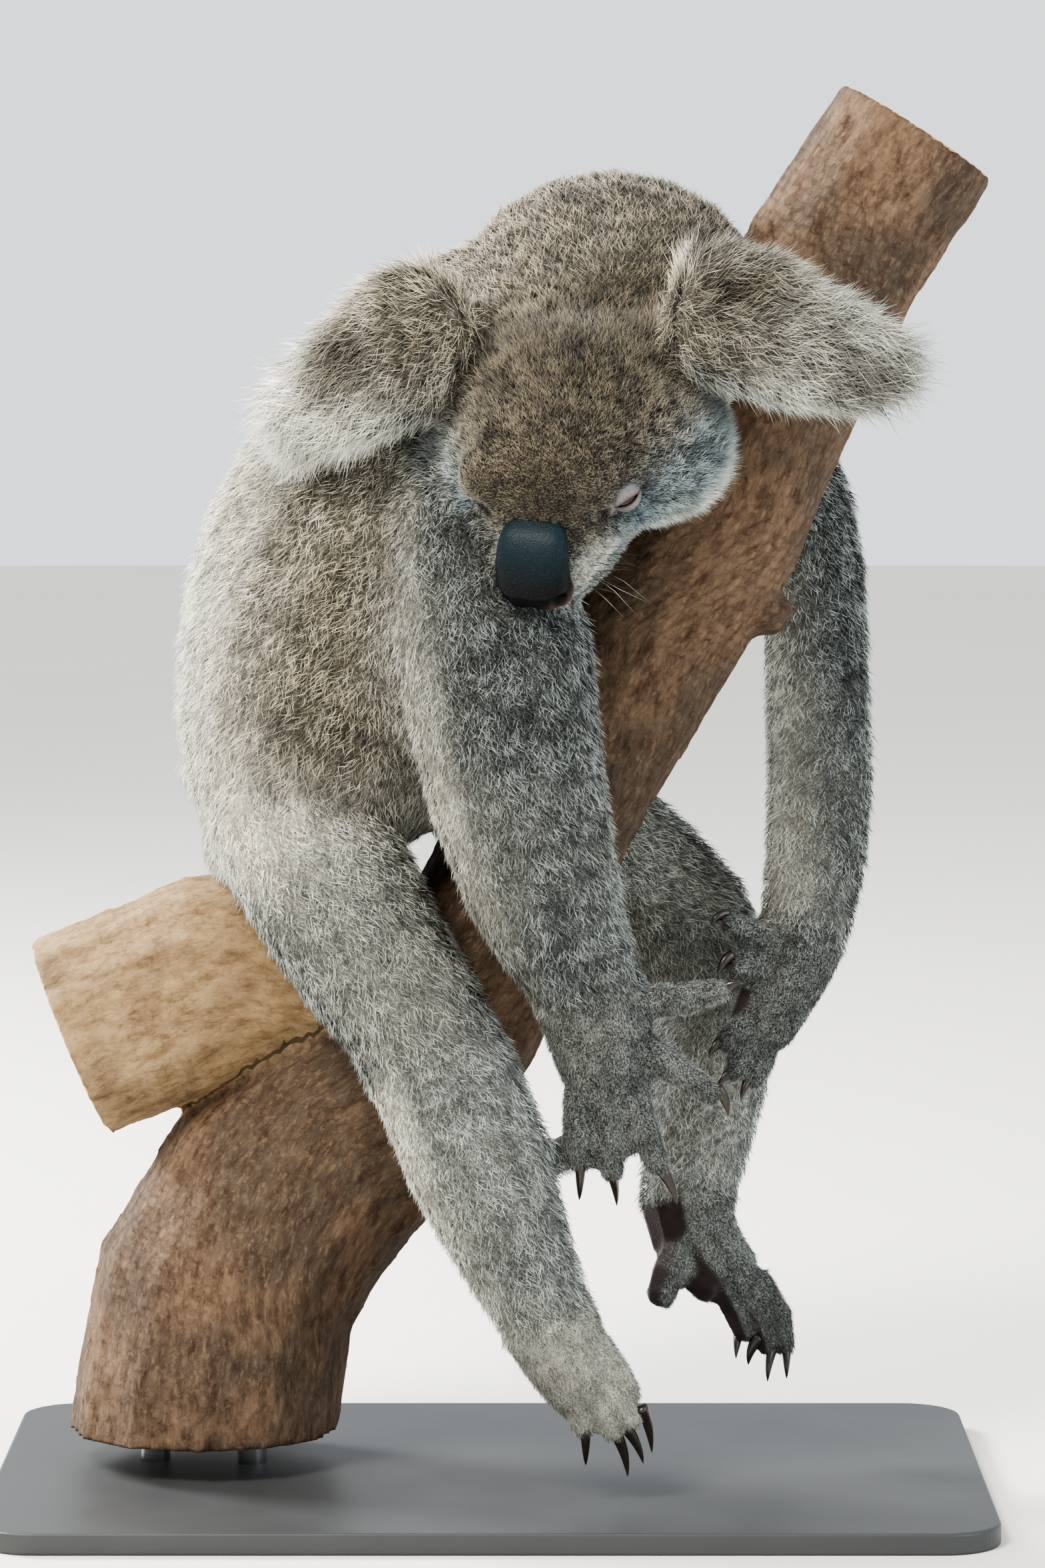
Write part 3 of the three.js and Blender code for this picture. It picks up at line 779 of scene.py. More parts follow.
def skin_marks(points, normals, labels):
    """The animal's markings at points: pale, cool, tan and dark, each from 0 to 1."""
    z = points[:, 2] / MM
    left, forward, up = head_coords(points).T
    aside = np.abs(left)
    mottle, fine = roughened(points, 26, 1), roughened(points, 8, 2)
    pale, cool, tan, dark = (np.zeros(len(points)) for _ in range(4))

    def on(*names):
        """Whether each point is on one of the nodes or kinds of node named."""
        return per_node(labels, lambda n: n in names or kind_of(n) in names)

    def spot(at, reach, soft=1.0):
        gone = np.linalg.norm((points / MM - at) / reach, axis=1)
        return 1 - smooth(1 - 0.5 * soft, 1 + 0.5 * soft, gone)

    def facing(low, high, *way):
        return smooth(low, high, normals @ way)

    # Trunk and neck, with the rump's patch, and a painted shadow in the lap, dark and warm.
    body, trunk, thigh, foot, hand = on("trunk", "neck"), on("trunk"), on("thigh"), on("foot"), on("hand")
    front = facing(0.0, 0.5, 0, -1, 0)
    belly = facing(0.25, 0.85, 0.80, 0, -0.60)
    spine = facing(0.30, 1.0, -0.97, 0, 0.22) * smooth(560, 430, z)
    rump = spot((-104, -26, 318), (46, 60, 36), 1.2)
    # Painted shadow: the lap between the near thigh and arm is darkened and warmed as if in shade.
    painted_lap_shadow = spot((-22, -60, 250), (40, 60, 46))
    pale += body * np.maximum(0.85 * belly, 0.9 * spine) + 0.95 * rump * on("trunk", "thigh")
    tan += body * (0.45 * (1 - belly) + 0.25 * on("neck"))
    tan += thigh * 0.4 + painted_lap_shadow * 0.5
    pale += 0.15 * body + 0.35 * thigh * front + 0.3 * on("shank") + 0.12 * on("forearm")
    dark += 0.46 * on("neck") * smooth(480, 560, z) + 0.16 * on("upper_arm", "forearm")
    dark += 0.10 * trunk + 0.06 * foot
    dark += 0.35 * painted_lap_shadow
    # Painted shadow of the fold on the flank above the thigh.
    dark += 0.30 * spot((-78, -60, 340), (44, 90, 22)) * trunk

    # Limbs: pale on the inner sides and along the near limbs' outer edge; cool and darker paws.
    limb = on("upper_arm", "forearm", "thigh", "shank")
    near_limbs = on("upper_arm_right", "forearm_right", "shank_right")
    pale += on("upper_arm_left", "forearm_left") * facing(0.1, 0.8, -0.85, -0.35, 0.1) * 0.6
    pale += near_limbs * facing(0.3, 0.9, 0.25, 0.95, 0.1) * 0.7
    pale += on("thigh_left", "shank_left") * facing(0.1, 0.8, 0, -0.9, 0) * 0.2
    pale += near_limbs * facing(0.45, 0.98, -0.98, -0.1, 0.1) * 0.9
    cool += limb * (0.50 + 0.15 * smooth(330, 200, z))
    cool += (hand | foot) * 0.45
    pale += on("foot_right") * 0.45 + on("foot_left") * 0.15
    dark += hand * (0.15 + 0.35 * smooth(185, 140, z))
    dark += on("foot_left") * 0.42 * smooth(100, 68, z)

    # Head: tan crown whose warmth is painted light from above, with a dark mask, blue-grey cheeks and lower
    # head that are partly painted cool shade, pale beside the nose and under the chin.
    head = on("head")
    face = smooth(30, -4, up) * smooth(22, 42, aside)
    gone = np.sqrt(((aside - 24) / 14) ** 2 + ((forward - 60) / 18) ** 2 + ((up + 18) / 13) ** 2)
    beside_nose = 1 - smooth(0.5, 1.4, gone)
    # The tan growing towards the top is painted warm light from above; the cool of the cheeks and lower head
    # is partly painted cool shade.
    tan += head * (0.5 * smooth(-20, 40, up) * (1 - 0.8 * face))
    cool += head * np.maximum(0.9 * face, 0.75 * smooth(4, -18, up))
    pale += head * np.maximum(0.95 * beside_nose, 0.75 * smooth(-26, -42, up))
    pale += head * 0.75 * smooth(-2, -24, up) * smooth(22, 44, aside)
    dark += head * 0.42 * smooth(-6, 12, up) * smooth(48, 30, aside - 0.2 * up)
    dark += head * 0.10 * smooth(26, 8, aside) * smooth(20, 60, forward) * smooth(-10, 10, up)
    dark += head * (0.10 + 0.26 * smooth(30, 60, up))
    pale += head * 0.35 * face * smooth(34, 52, aside)
    cool += head * 0.3 * face

    # Ears: pale rims and long pale hair inside, round a hollow darkened with painted shade; painted cool
    # shade on the downward side.
    ear = on("ear")
    # Painted shade: the ear's downward-facing side is tinted cool and less tan.
    under = facing(0.1, 0.75, 0, 0, -1) * ear
    outer = smooth(0.2, 0.75, along_part(points, labels))
    pale += ear * (0.24 + 0.34 * outer + 0.45 * (ear_rim(normals, labels) * outer))
    tan += ear * (0.25 * (1 - under) + 0.3 * (1 - outer))
    dark += ear * 0.24 * (1 - outer)
    cool += under * 0.7
    inner_hair = front * (spot((126, 0, 514), (20, 900, 12)) + 0.7 * spot((-62, 0, 500), (18, 900, 16)))
    # Painted shade in the hollow of each ear.
    hollow = front * (spot((160, 0, 520), (26, 900, 10)) + spot((108, 0, 558), (13, 900, 6)))
    hollow = hollow + front * spot((-64, 0, 540), (9, 900, 26))
    inner_hair, hollow = np.clip(inner_hair, 0, 1), np.clip(hollow, 0, 1)
    pale += ear * 0.7 * inner_hair
    dark += ear * 0.60 * hollow * (1 - inner_hair)
    pale -= ear * 0.5 * hollow * (1 - inner_hair)
    for eye in eyes():
        reach, round_it = round_eye(points, *eye)
        pale += 0.45 * head * (reach < 0.024) * smooth(2.4, 1.2, round_it)

    pale += 0.14 * mottle * (1 - head) + 0.12 * fine
    dark += 0.16 * np.maximum(mottle, 0) * limb + 0.16 * np.maximum(fine, 0)
    dark = np.maximum(dark, 0.9 * np.exp(-(mouth_line(points) / 1.3) ** 2))
    return np.clip(np.stack([pale, cool, tan, dark], 1), 0, 1)


def lie_of_coat(points, normals, labels, edges):
    """The way the coat lies at each vertex, along the skin."""
    middle = per_node(labels, lambda n: LIE[n][0]) * MM
    way = unit(per_node(labels, lambda n: LIE[n][1]).astype(float) + (0, 0, 1e-6))
    fan = per_node(labels, lambda n: LIE[n][2])[:, None]
    away = points - middle
    off_axis = away - way * np.sum(away * way, axis=1, keepdims=True)
    lie = way + fan * off_axis / (30 * MM)
    head = labels == FLESH.index("head")
    nose = np.array(head_point(*NOSE_TIP))
    lie[head] = unit(points[head] - nose)
    lie = flat_to(lie, normals)
    for _ in range(6):
        lie = flat_to(spread(lie, edges, 5), normals)
    return lie


def along_part(points, labels):
    """How far along its part of the body each point lies, from 0 at the part's root to 1 at its end."""
    root = per_node(labels, lambda n: LIE[n][0]) * MM
    way = per_node(labels, lambda n: LIE[n][1]) * MM
    return np.sum((points - root) * way, axis=1) / np.maximum(np.sum(way * way, axis=1), 1e-9)


def tuft_lengths(points, normals, labels):
    """Length of a tuft at each vertex, in mm."""
    length = zone_values(labels, "length") + growth(points, labels) ** 1.8 * 6.0
    fringe = np.maximum(smooth(0.35, 1.0, along_part(points, labels)), 0.8 * ear_rim(normals, labels))
    left, _, up = head_coords(points).T
    cheek = (labels == FLESH.index("head")) * smooth(24, 44, np.abs(left)) * smooth(4, -20, up)
    length = length + is_ear(labels) * 15 * fringe + 4.0 * cheek
    return length * (1 - on_sole(normals, labels))


LID_TILT = math.radians(-5)            # of the lids' parting, off the way the eye looks
LIDS = ((1, 74), (-1, -66))            # upper and lower: its side, and how far round the eye it runs


def add_lids(bm, opening):
    """Upper and lower lid over each eyeball, as shells that run under the skin at their outer edges."""
    for centre, gaze, along, above in eyes():
        for way, far in LIDS:
            made = bmesh.ops.create_grid(bm, x_segments=36, y_segments=22, size=0.5)["verts"]
            for vert in made:
                u, v = vert.co.x + 0.5, vert.co.y + 0.5
                turn = math.radians(28 + 124 * u)
                rim = LID_TILT + way * opening * max(0.0, 1 - ((u - 0.5) / 0.33) ** 2)
                lean = rim + (math.radians(far) - rim) * v
                fold = 0.25 * math.exp(-((v - 0.36) / 0.06) ** 2) * (way > 0)
                lip = 0.35 * math.exp(-((v - 0.03) / 0.06) ** 2)
                reach = (EYE["radius"] + 0.60 + lip - fold - 0.5 * v) * MM
                across = gaze * math.cos(lean) + above * math.sin(lean)
                vert.co = centre + (along * math.cos(turn) + across * math.sin(turn)) * reach
            faces = {f for v in made for f in v.link_faces}
            bmesh.ops.recalc_face_normals(bm, faces=list(faces))
            some = next(iter(faces))
            if some.normal.dot(some.calc_center_median() - centre) < 0:
                bmesh.ops.reverse_faces(bm, faces=list(faces))
            solid = bmesh.ops.solidify(bm, geom=list(faces), thickness=0.55 * MM)
            for face in faces | {g for g in solid["geom"] if isinstance(g, bmesh.types.BMFace)}:
                face.material_index = 1


def lid_margin(point, opening):
    """1 on the dark edge of a lid, 0 away from it."""
    for centre, gaze, along, above in eyes():
        ray = point - centre
        if ray.length <= LID_REACH:
            across = math.asin(max(-1, min(1, ray.dot(along) / ray.length)))
            shut = max(0.0, 1 - (across / math.radians(41)) ** 2)
            lean = math.atan2(ray.dot(above), ray.dot(gaze)) - LID_TILT
            return max(0.0, 1 - max(0.0, abs(lean) - opening * shut) / math.radians(11))
    return 0.0


class KOALA_OT_skin(bpy.types.Operator):
    """Builds one seamless skin inside the flesh, with sockets, lids and mouth"""

    bl_idname = "koala.skin"
    bl_label = "Build skin"

    def execute(self, context):
        settings = context.scene.koala_skin
        flesh = merged_copy(FLESH + ["eye_left", "eye_right"])
        solids = BVHTree.FromBMesh(flesh)
        bm = remeshed(flesh, settings.voxel)
        self.refine(bm)
        mesh = mesh_from(bm, "skin")
        points, _, edges = arrays_of(mesh)
        labels = node_labels(points)
        paws = np.flatnonzero(per_node(labels, lambda n: n in SOLES))
        points[paws] = [solids.find_nearest(p)[0] for p in points[paws]]
        calm = spread(zone_values(labels, "calm"), edges, 10)[:, None]
        for rounds, weight in ((46, calm), (5, np.minimum(0.25 + calm, 1))):
            points = relaxed(points, edges, rounds, weight)

        # Sunk by the coat's depth, less where the bark is close.
        normals = moved(mesh, points)
        depth = zone_values(labels, "depth") + growth(points, labels) * 3.4 + ear_rim(normals, labels) * 9
        bark = BVHTree.FromObject(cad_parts["perch"], context.evaluated_depsgraph_get())
        depth = spread(depth * (1 - 0.75 * smooth(9, 2, gap_to(bark, points))), edges, 10)
        points = points - normals * (depth * MM)[:, None]
        points = relaxed(points, edges, 6, np.minimum(0.1 + calm, 0.8))
        points = sculpt_sockets(points)
        points = points + normals * (brow(points) * MM)[:, None]
        near_face = smooth(95, 70, np.linalg.norm(head_coords(points), axis=1))[:, None]
        points = relaxed(points, edges, 2, near_face * 0.6)
        normals = moved(mesh, points)
        groove = 1.7 * np.exp(-(mouth_line(points) / 1.5) ** 2)
        points = points - normals * (groove * MM)[:, None]
        normals = moved(mesh, points)

        self.keep_values(mesh, points, normals, node_labels(points), edges, gap_to(bark, points))
        self.join_lids(mesh, settings.lid_opening)
        unwrap(mesh)
        piece("skin", mesh, [hide_material(), lid_material()], FLESH)
        return {"FINISHED"}

    def keep_values(self, mesh, points, normals, labels, edges, gap):
        """Stores on the skin what the coat needs: lie, length, form, part of the body and markings."""
        lift, half_width, stray = (
            spread(zone_values(labels, key), edges, 16) for key in ("lift", "half_width", "stray"))
        marks = spread(skin_marks(points, normals, labels), edges, 2)
        away = np.linalg.norm(head_coords(points), axis=1)
        broad = smooth(55, 85, away) * (1 - 0.7 * is_ear(labels))
        marks = marks + (spread(marks, edges, 36) - marks) * broad[:, None]
        length = spread(tuft_lengths(points, normals, labels), edges, 8)
        length = length * (1 - 0.45 * smooth(11, 4, gap))
        lift = lift * (1 - 0.6 * smooth(13, 5, gap))
        for eye in eyes():
            reach, round_it = round_eye(points, *eye)
            close = (reach < EYE_REACH) & (round_it < EYE_ROUND)
            length = np.where(close, np.minimum(length, 3.4 * smooth(0.55, 1.6, round_it)), length)
            lift = np.where(close, 20, lift)
        keep(mesh, "lie", "FLOAT_VECTOR", lie_of_coat(points, normals, labels, edges))
        keep(mesh, "form", "FLOAT_VECTOR", np.stack([lift, half_width, stray], 1))
        keep(mesh, "length", "FLOAT", length)
        keep(mesh, "zone", "INT", labels)
        keep(mesh, "marks", "FLOAT_COLOR", marks)
        keep(mesh, "bare", "FLOAT", spread(on_sole(normals, labels), edges, 2))

    def join_lids(self, mesh, opening):
        """Adds the lids to the skin, with their own finish and no coat."""
        bm = bmesh.new()
        bm.from_mesh(mesh)
        skin_faces = len(bm.faces)
        add_lids(bm, opening)
        marks = bm.verts.layers.float_color["marks"]
        zone = bm.verts.layers.int["zone"]
        bm.faces.ensure_lookup_table()
        for vert in {v for f in bm.faces[skin_faces:] for v in f.verts}:
            vert[marks] = (0, 0, 0, lid_margin(vert.co, opening))
            vert[zone] = -1
        bm.to_mesh(mesh)
        bm.free()
        mesh.polygons.foreach_set("use_smooth", [True] * len(mesh.polygons))

    def refine(self, bm):
        """Finer squares round the eyes, along the mouth and on the paws; finer again on the face."""
        centres = [c for c, _, _, _ in eyes()]
        edge = Vector((1, 1, 1)) * 2 * MM
        paws = [(low - edge, high + edge) for low, high in map(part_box, SOLES)]
        for mouth_reach, eye_reach in ((7, 0.024), (4, 0.020)):
            mouth = mouth_line(np.array([v.co for v in bm.verts]))
            chosen = set()
            for vert, away in zip(bm.verts, mouth):
                if away < mouth_reach or any((vert.co - c).length < eye_reach for c in centres) or any(
                        all(a < x < b for a, x, b in zip(low, vert.co, high)) for low, high in paws):
                    chosen.add(vert)
            edges = [e for e in bm.edges if e.verts[0] in chosen and e.verts[1] in chosen]
            bmesh.ops.subdivide_edges(bm, edges=edges, cuts=1, use_grid_fill=True, smooth=0)
            paws = []


# ------------------------------------------------------------------ the coat

# A tuft's triangles, how far along it its points lie, and their places in its patch of the map. Bent:
# a root, a ring of three and a tip. Short: a ring of three under the skin and a tip.
Shape = namedtuple("Shape", "triangles along places")
SHAPES = {
    "bent": Shape([(0, 2, 1), (0, 3, 2), (0, 1, 3), (4, 1, 2), (4, 2, 3), (4, 3, 1)],
                  (0, 0.42, 0.42, 0.42, 1), ((-1, 0), (0, -1), (0, 1), (0, 0), (1, 0))),
    "short": Shape([(0, 2, 1), (3, 0, 1), (3, 1, 2), (3, 2, 0)],
                   (0, 0, 0, 1), ((-1, -1), (-1, 1), (-1, 0), (1, 0))),
}
HALF_PATCH = 0.0015                    # of a tuft, in the map
THIRD = 2.0944                         # of a turn, in radians
FAR_THINNER = 1.22                     # roots on the far side of the trunk, against the near side
NO_COAT = 0.8                          # mm; skin whose tufts would be shorter stays bare


def around(axis, side, turn=0.0):
    """Three directions across an axis, evenly round it."""
    other = np.cross(axis, side)
    return [side * np.cos(turn + k * THIRD) + other * np.sin(turn + k * THIRD) for k in range(3)]


def sample_skin(faces, spacing, rng):
    """Even random roots over triangles of the skin: the triangle of each and its place in it."""
    a, b, c = (faces["values"]["point"][faces["verts"][:, k]] for k in range(3))
    area = np.linalg.norm(np.cross(b - a, c - a), axis=1) / 2
    total = np.cumsum(area / (spacing * MM) ** 2)
    count = int(total[-1])
    chosen = np.searchsorted(total, (np.arange(count) + rng.random(count)) * total[-1] / count)
    a, b = rng.random(count), rng.random(count)
    flip = a + b > 1
    a, b = np.where(flip, 1 - a, a), np.where(flip, 1 - b, b)
    return np.minimum(chosen, len(area) - 1), np.stack([1 - a - b, a, b], 1)


def grow_tufts(faces, chosen, weight, shape, contrast, spacing, rng):
    """Tufts as one closed spike each: points, triangles, values and map places."""
    settings = bpy.context.scene.koala_coat
    verts = faces["verts"][chosen]
    value = {k: np.einsum("nk,nkc->nc", weight, v[verts]) for k, v in faces["values"].items()}
    count = len(chosen)
    root, normal = value["point"], unit(value["normal"])
    lie = flat_to(value["lie"], normal)
    lift, half, wild = np.split(value["form"], 3, axis=1)
    length = value["length"] * MM * settings.length
    lift = np.radians(lift) * settings.lift
    across = np.cross(normal, lie)

    # The tuft rises from its root one way and finishes another, both strayed at random.
    stray = rng.normal(0, 1, (count, 3))
    length = length * (0.70 + 0.55 * rng.random((count, 1)))
    rise = lift * (1.15 + 0.25 * stray[:, :1])
    begin = unit(lie * np.cos(rise) + normal * np.sin(rise) + across * wild * stray[:, 1:2])
    fall = lift * (0.60 + 0.40 * stray[:, 2:])
    sway = wild * (0.6 * stray[:, 1:2] + 0.9 * rng.normal(0, 1, (count, 1)))
    end = unit(lie * np.cos(fall) + normal * np.sin(fall) + across * sway)
    bend = root + begin * length * 0.42
    tip = bend + end * length * 0.58

    # Some tufts lead a lock; the others are drawn towards the nearest leader.
    clump = settings.clump * (1 if shape == "bent" else 0.6)
    middles = rng.permutation(count)[:max(8, int(count * (spacing * MM / clump) ** 2))]
    tree = nearest_tree(root[middles])
    found = np.array([tree.find(p)[1:] for p in root])
    lock = middles[found[:, 0].astype(int)]
    near = np.clip(1 - found[:, 1:] / (clump * 1.1), 0, 1)
    draw = (0.14 + 0.30 * rng.random((count, 1))) * (0.35 + 0.65 * near)
    tip = tip + (tip[lock] - tip) * draw
    bend = bend + (bend[lock] - bend) * draw * 0.35

    half = half * MM * (0.7 + 0.6 * rng.random((count, 1)))
    axis = unit(tip - root)
    side = unit(np.cross(axis, normal + 0.3 * stray))
    ring = [half * way for way in around(axis, side, rng.random((count, 1)) * 2 * math.pi)]
    if shape == "bent":
        layers = [root - normal * 0.5 * MM] + [bend + r for r in ring] + [tip]
    else:
        layers = [root - normal * 0.35 * MM + r for r in ring] + [tip]
    triangles, along, places = SHAPES[shape]
    many = len(layers)
    points = np.stack(layers, 1).reshape(-1, 3)
    index = (np.arange(count)[:, None, None] * many + np.array(triangles)).reshape(-1, 3)

    shade = rng.random(count)
    salt = 0.53 + contrast * rng.normal(0, 1, count)
    # Painted shade: tufts towards the edge of a lock are darker, as in the partings between locks; each
    # lock's own tone is random.
    salt += 0.70 * (near[:, 0] - 0.5) + 0.8 * (shade[lock] - 0.5)
    tuft = np.ones((count, many, 4))
    tuft[..., 0] = along
    tuft[..., 1] = np.clip(salt, 0, 1)[:, None]
    tuft[..., 2] = shade[lock][:, None]
    marks = np.repeat(value["marks"][:, None], many, 1)
    uv = np.einsum("nk,nkc->nc", weight, faces["uv"][chosen])[:, None] + np.array(places) * HALF_PATCH
    return points, index, {"tuft": tuft, "marks": marks}, uv.reshape(-1, 2)


class KOALA_OT_coat(bpy.types.Operator):
    """Grows the coat in tufts over the skin, in pieces by part of the body"""

    bl_idname = "koala.coat"
    bl_label = "Grow coat"

    def execute(self, context):
        skin = bpy.data.objects["skin"].data
        material = fur_material()
        skin.calc_loop_triangles()
        corners = read(skin.loop_triangles, "vertices", 3, int)
        values = {"point": read(skin.vertices, "co", 3), "normal": read(skin.vertices, "normal", 3)}
        for name, key, width in (("lie", "vector", 3), ("form", "vector", 3), ("length", "value", 1),
                                 ("marks", "color", 4)):
            values[name] = read(skin.attributes[name].data, key, width).reshape(-1, width)
        zone = read(skin.attributes["zone"].data, "value", 1, int)
        for number, (name, (nodes, shape, thinner, contrast)) in enumerate(COATS.items()):
            wanted = [FLESH.index(n) for n in nodes]
            own = corners[np.isin(zone[corners[:, 0]], wanted) & (zone[corners].min(axis=1) >= 0)]
            middle = values["point"][own].mean(axis=1)
            parts = {"": own}
            if nodes == ["head"]:
                side = head_coords(middle)[:, 0]
                parts = {"_left": own[side >= 0], "_right": own[side < 0]}
            elif nodes == ["trunk"]:
                parts = {"_far": own[middle[:, 1] >= 0.01], "_near": own[middle[:, 1] < 0.01]}
            spacing = float(np.mean([ZONES[kind_of(n)].spacing for n in nodes]))
            for extra, verts in parts.items():
                rng = np.random.default_rng(SEED + 10 * number + len(extra))
                gap = spacing * (thinner * (FAR_THINNER if extra == "_far" else 1.0))
                self.grow(name + extra, verts, values, shape, contrast, gap, material, rng)
        return {"FINISHED"}

    def grow(self, name, verts, values, shape, contrast, spacing, material, rng):
        verts = verts[values["length"][verts].min(axis=(1, 2)) >= NO_COAT]
        used, local = np.unique(verts, return_inverse=True)
        patch = mesh_from_arrays("patch", values["point"][used], local.reshape(-1, 3))
        unwrap(patch)
        uv = read(patch.uv_layers["OFBake"].uv, "vector", 2).reshape(-1, 3, 2)
        bpy.data.meshes.remove(patch)
        faces = {"verts": verts, "values": values, "uv": uv}
        chosen, weight = sample_skin(faces, spacing, rng)
        most = PIECE_LIMIT // len(SHAPES[shape].triangles)
        if len(chosen) > most:
            some = np.sort(rng.permutation(len(chosen))[:most])
            chosen, weight = chosen[some], weight[some]
        points, index, colours, places = grow_tufts(faces, chosen, weight, shape, contrast, spacing, rng)
        mesh = mesh_from_arrays(name, points, index)
        for label, data in colours.items():
            keep(mesh, label, "FLOAT_COLOR", data)
        layer = mesh.uv_layers.new(name="OFBake")
        layer.uv.foreach_set("vector", places[index.ravel()].astype(np.float32).ravel())
        piece(name, mesh, material)


# ------------------------------------------------------------------ face and claws

class KOALA_OT_eyes(bpy.types.Operator):
    """Builds the eyeballs under the lids"""

    bl_idname = "koala.eyes"
    bl_label = "Build eyes"

    def execute(self, context):
        material = eye_material()
        radius = EYE["radius"] * MM
        for side, (centre, gaze, _, _) in zip(("left", "right"), eyes()):
            bm = bmesh.new()
            bmesh.ops.create_uvsphere(bm, u_segments=40, v_segments=24, radius=radius)
            for vert in bm.verts:      # the clear front of the eye bulges
                vert.co.z += 0.35 * MM * max(0.0, vert.co.z / radius - 0.8) / 0.2
            turn = gaze.to_track_quat("Z", "Y").to_matrix().to_4x4()
            bmesh.ops.transform(bm, matrix=Matrix.Translation(centre) @ turn, verts=bm.verts)
            piece(f"eyeball_{side}", mesh_from(bm, f"eyeball_{side}"), material, [f"eye_{side}"])
        return {"FINISHED"}


# The nose pad's outline in mm, from below: height, half its width, its middle forwards, half its depth.
NOSE_ROWS = (
    (-24, 15.2, 70, 7.5), (-18, 16.4, 75.5, 10), (-8, 16.8, 77.5, 11),
    (2, 16.4, 73.5, 10), (8, 15.9, 68.5, 9), (13.5, 15.4, 63, 7.5),
)


class KOALA_OT_nose(bpy.types.Operator):
    """Builds the nose pad with its nostrils"""

    bl_idname = "koala.nose"
    bl_label = "Build nose"

    def execute(self, context):
        heights, widths, middles, depths = zip(*NOSE_ROWS)
        bm = bmesh.new()
        bmesh.ops.create_uvsphere(bm, u_segments=72, v_segments=48, radius=1)
        layer = bm.verts.layers.float_color.new("marks")
        for vert in bm.verts:
            x, y, z = vert.co
            flat = math.hypot(x, y) or 1e-9
            height = np.interp(z, [-1, 1], [heights[0], heights[-1]])
            closed = max(0.0, 1 - abs(z) ** 9) ** (1 / 3.4)
            round_x = math.copysign(abs(x / flat) ** 0.60, x)
            round_y = math.copysign(abs(y / flat) ** 0.80, y)
            left = round_x * closed * np.interp(height, heights, widths)
            deep = round_y * closed * np.interp(height, heights, depths)
            # Two slanting nostrils, and a groove between them at the foot of the pad.
            nostril = math.hypot((abs(left) - 13.2) / 3.0, (height + 13 - 0.35 * (abs(left) - 13)) / 4.6)
            hollow = math.exp(-nostril ** 2.6) if y < 0 else 0.0
            groove = math.exp(-(left / 1.4) ** 2) * float(smooth(-12, -22, height))
            forward = np.interp(height, heights, middles) - deep - (4.5 * hollow + 1.0 * groove)
            left -= math.copysign(1.2 * hollow, left)
            vert.co = head_point(left, forward, height)
            pink = float(smooth(-11, -22, height)) * float(smooth(4, 12, left)) * 0.85
            # Painted reflection: the top of the pad is tinted blue-grey as if it mirrored the sky.
            sheen = float(smooth(-6, 13, height)) * 0.9
            # The alpha paints shade inside the nostrils.
            vert[layer] = (pink * (1 - hollow), sheen, 0, min(1.0, 1.5 * hollow))
        piece("nose_pad", mesh_from(bm, "nose_pad"), nose_material(), ["nose"])
        return {"FINISHED"}


# Whiskers on each side: how many, the spans of their places and of their ways (to the side, forwards,
# upwards, in the head's frame), how far they lean off the skin, and the spans of their length in mm
# and of their shade.
WHISKERS = (
    (26, ((17, 26), (50, 68), (-30, -8)), ((0.7, 1.2), (-0.9, 0.1), (-0.5, 0.1)), 0.4, (11, 22), (0, 0.12)),
    (4, ((17, 24), (52, 66), (-32, -20)), ((0.6, 1.0), (-0.3, 0.4), (-0.8, -0.4)), 0.5, (22, 34), (0.3, 0.7)),
)


class KOALA_OT_bristles(bpy.types.Operator):
    """Plants the whiskers on the muzzle and the bristles over the eyes"""

    bl_idname = "koala.bristles"
    bl_label = "Plant bristles"

    def execute(self, context):
        rng = np.random.default_rng(SEED)
        skin = BVHTree.FromObject(bpy.data.objects["skin"], context.evaluated_depsgraph_get())
        planted = []                   # root, way, length and shade of each
        for sign in (1, -1):
            for many, place, leaning, lean, lengths, shades in WHISKERS:
                for _ in range(many):
                    left, forward, up = (rng.uniform(*span) for span in place)
                    root, normal, _, _ = skin.find_nearest(head_point(sign * left, forward, up))
                    left, forward, up = (rng.uniform(*span) for span in leaning)
                    way = (head_way(sign * left, forward, up) + normal * lean).normalized()
                    planted.append((root, way, rng.uniform(*lengths) * MM, rng.uniform(*shades)))
        for centre, gaze, along, above in eyes():
            for step in range(5):
                at = centre - along * (8.5 + 0.7 * step) * MM
                at += above * (step - 2) * 1.6 * MM + gaze * 5 * MM
                root, normal, _, _ = skin.find_nearest(at)
                way = (normal * 0.7 - along * 0.5 - above * (0.9 - 0.2 * step)).normalized()
                planted.append((root, way, rng.uniform(9, 14) * MM, 0.02))
        points, triangles, tuft = [], [], []
        for root, way, length, shade in planted:
            bow = (Vector(rng.normal(0, 0.08, 3)) - UP * 0.06) * length
            ring = around(np.array(way), np.array(way.cross(UP).normalized()))
            middle = np.array(root + way * length * 0.45)
            triangles.append(np.array(SHAPES["bent"].triangles) + 5 * len(triangles))
            points += [root - way * MM, *(middle + r * 0.17 * MM for r in ring), root + way * length + bow]
            tuft += [(0, shade, 0, 1)] * 5
        mesh = mesh_from_arrays("bristles", np.array(points), np.concatenate(triangles))
        keep(mesh, "tuft", "FLOAT_COLOR", tuft)
        piece("bristles", mesh, bristle_material())
        return {"FINISHED"}


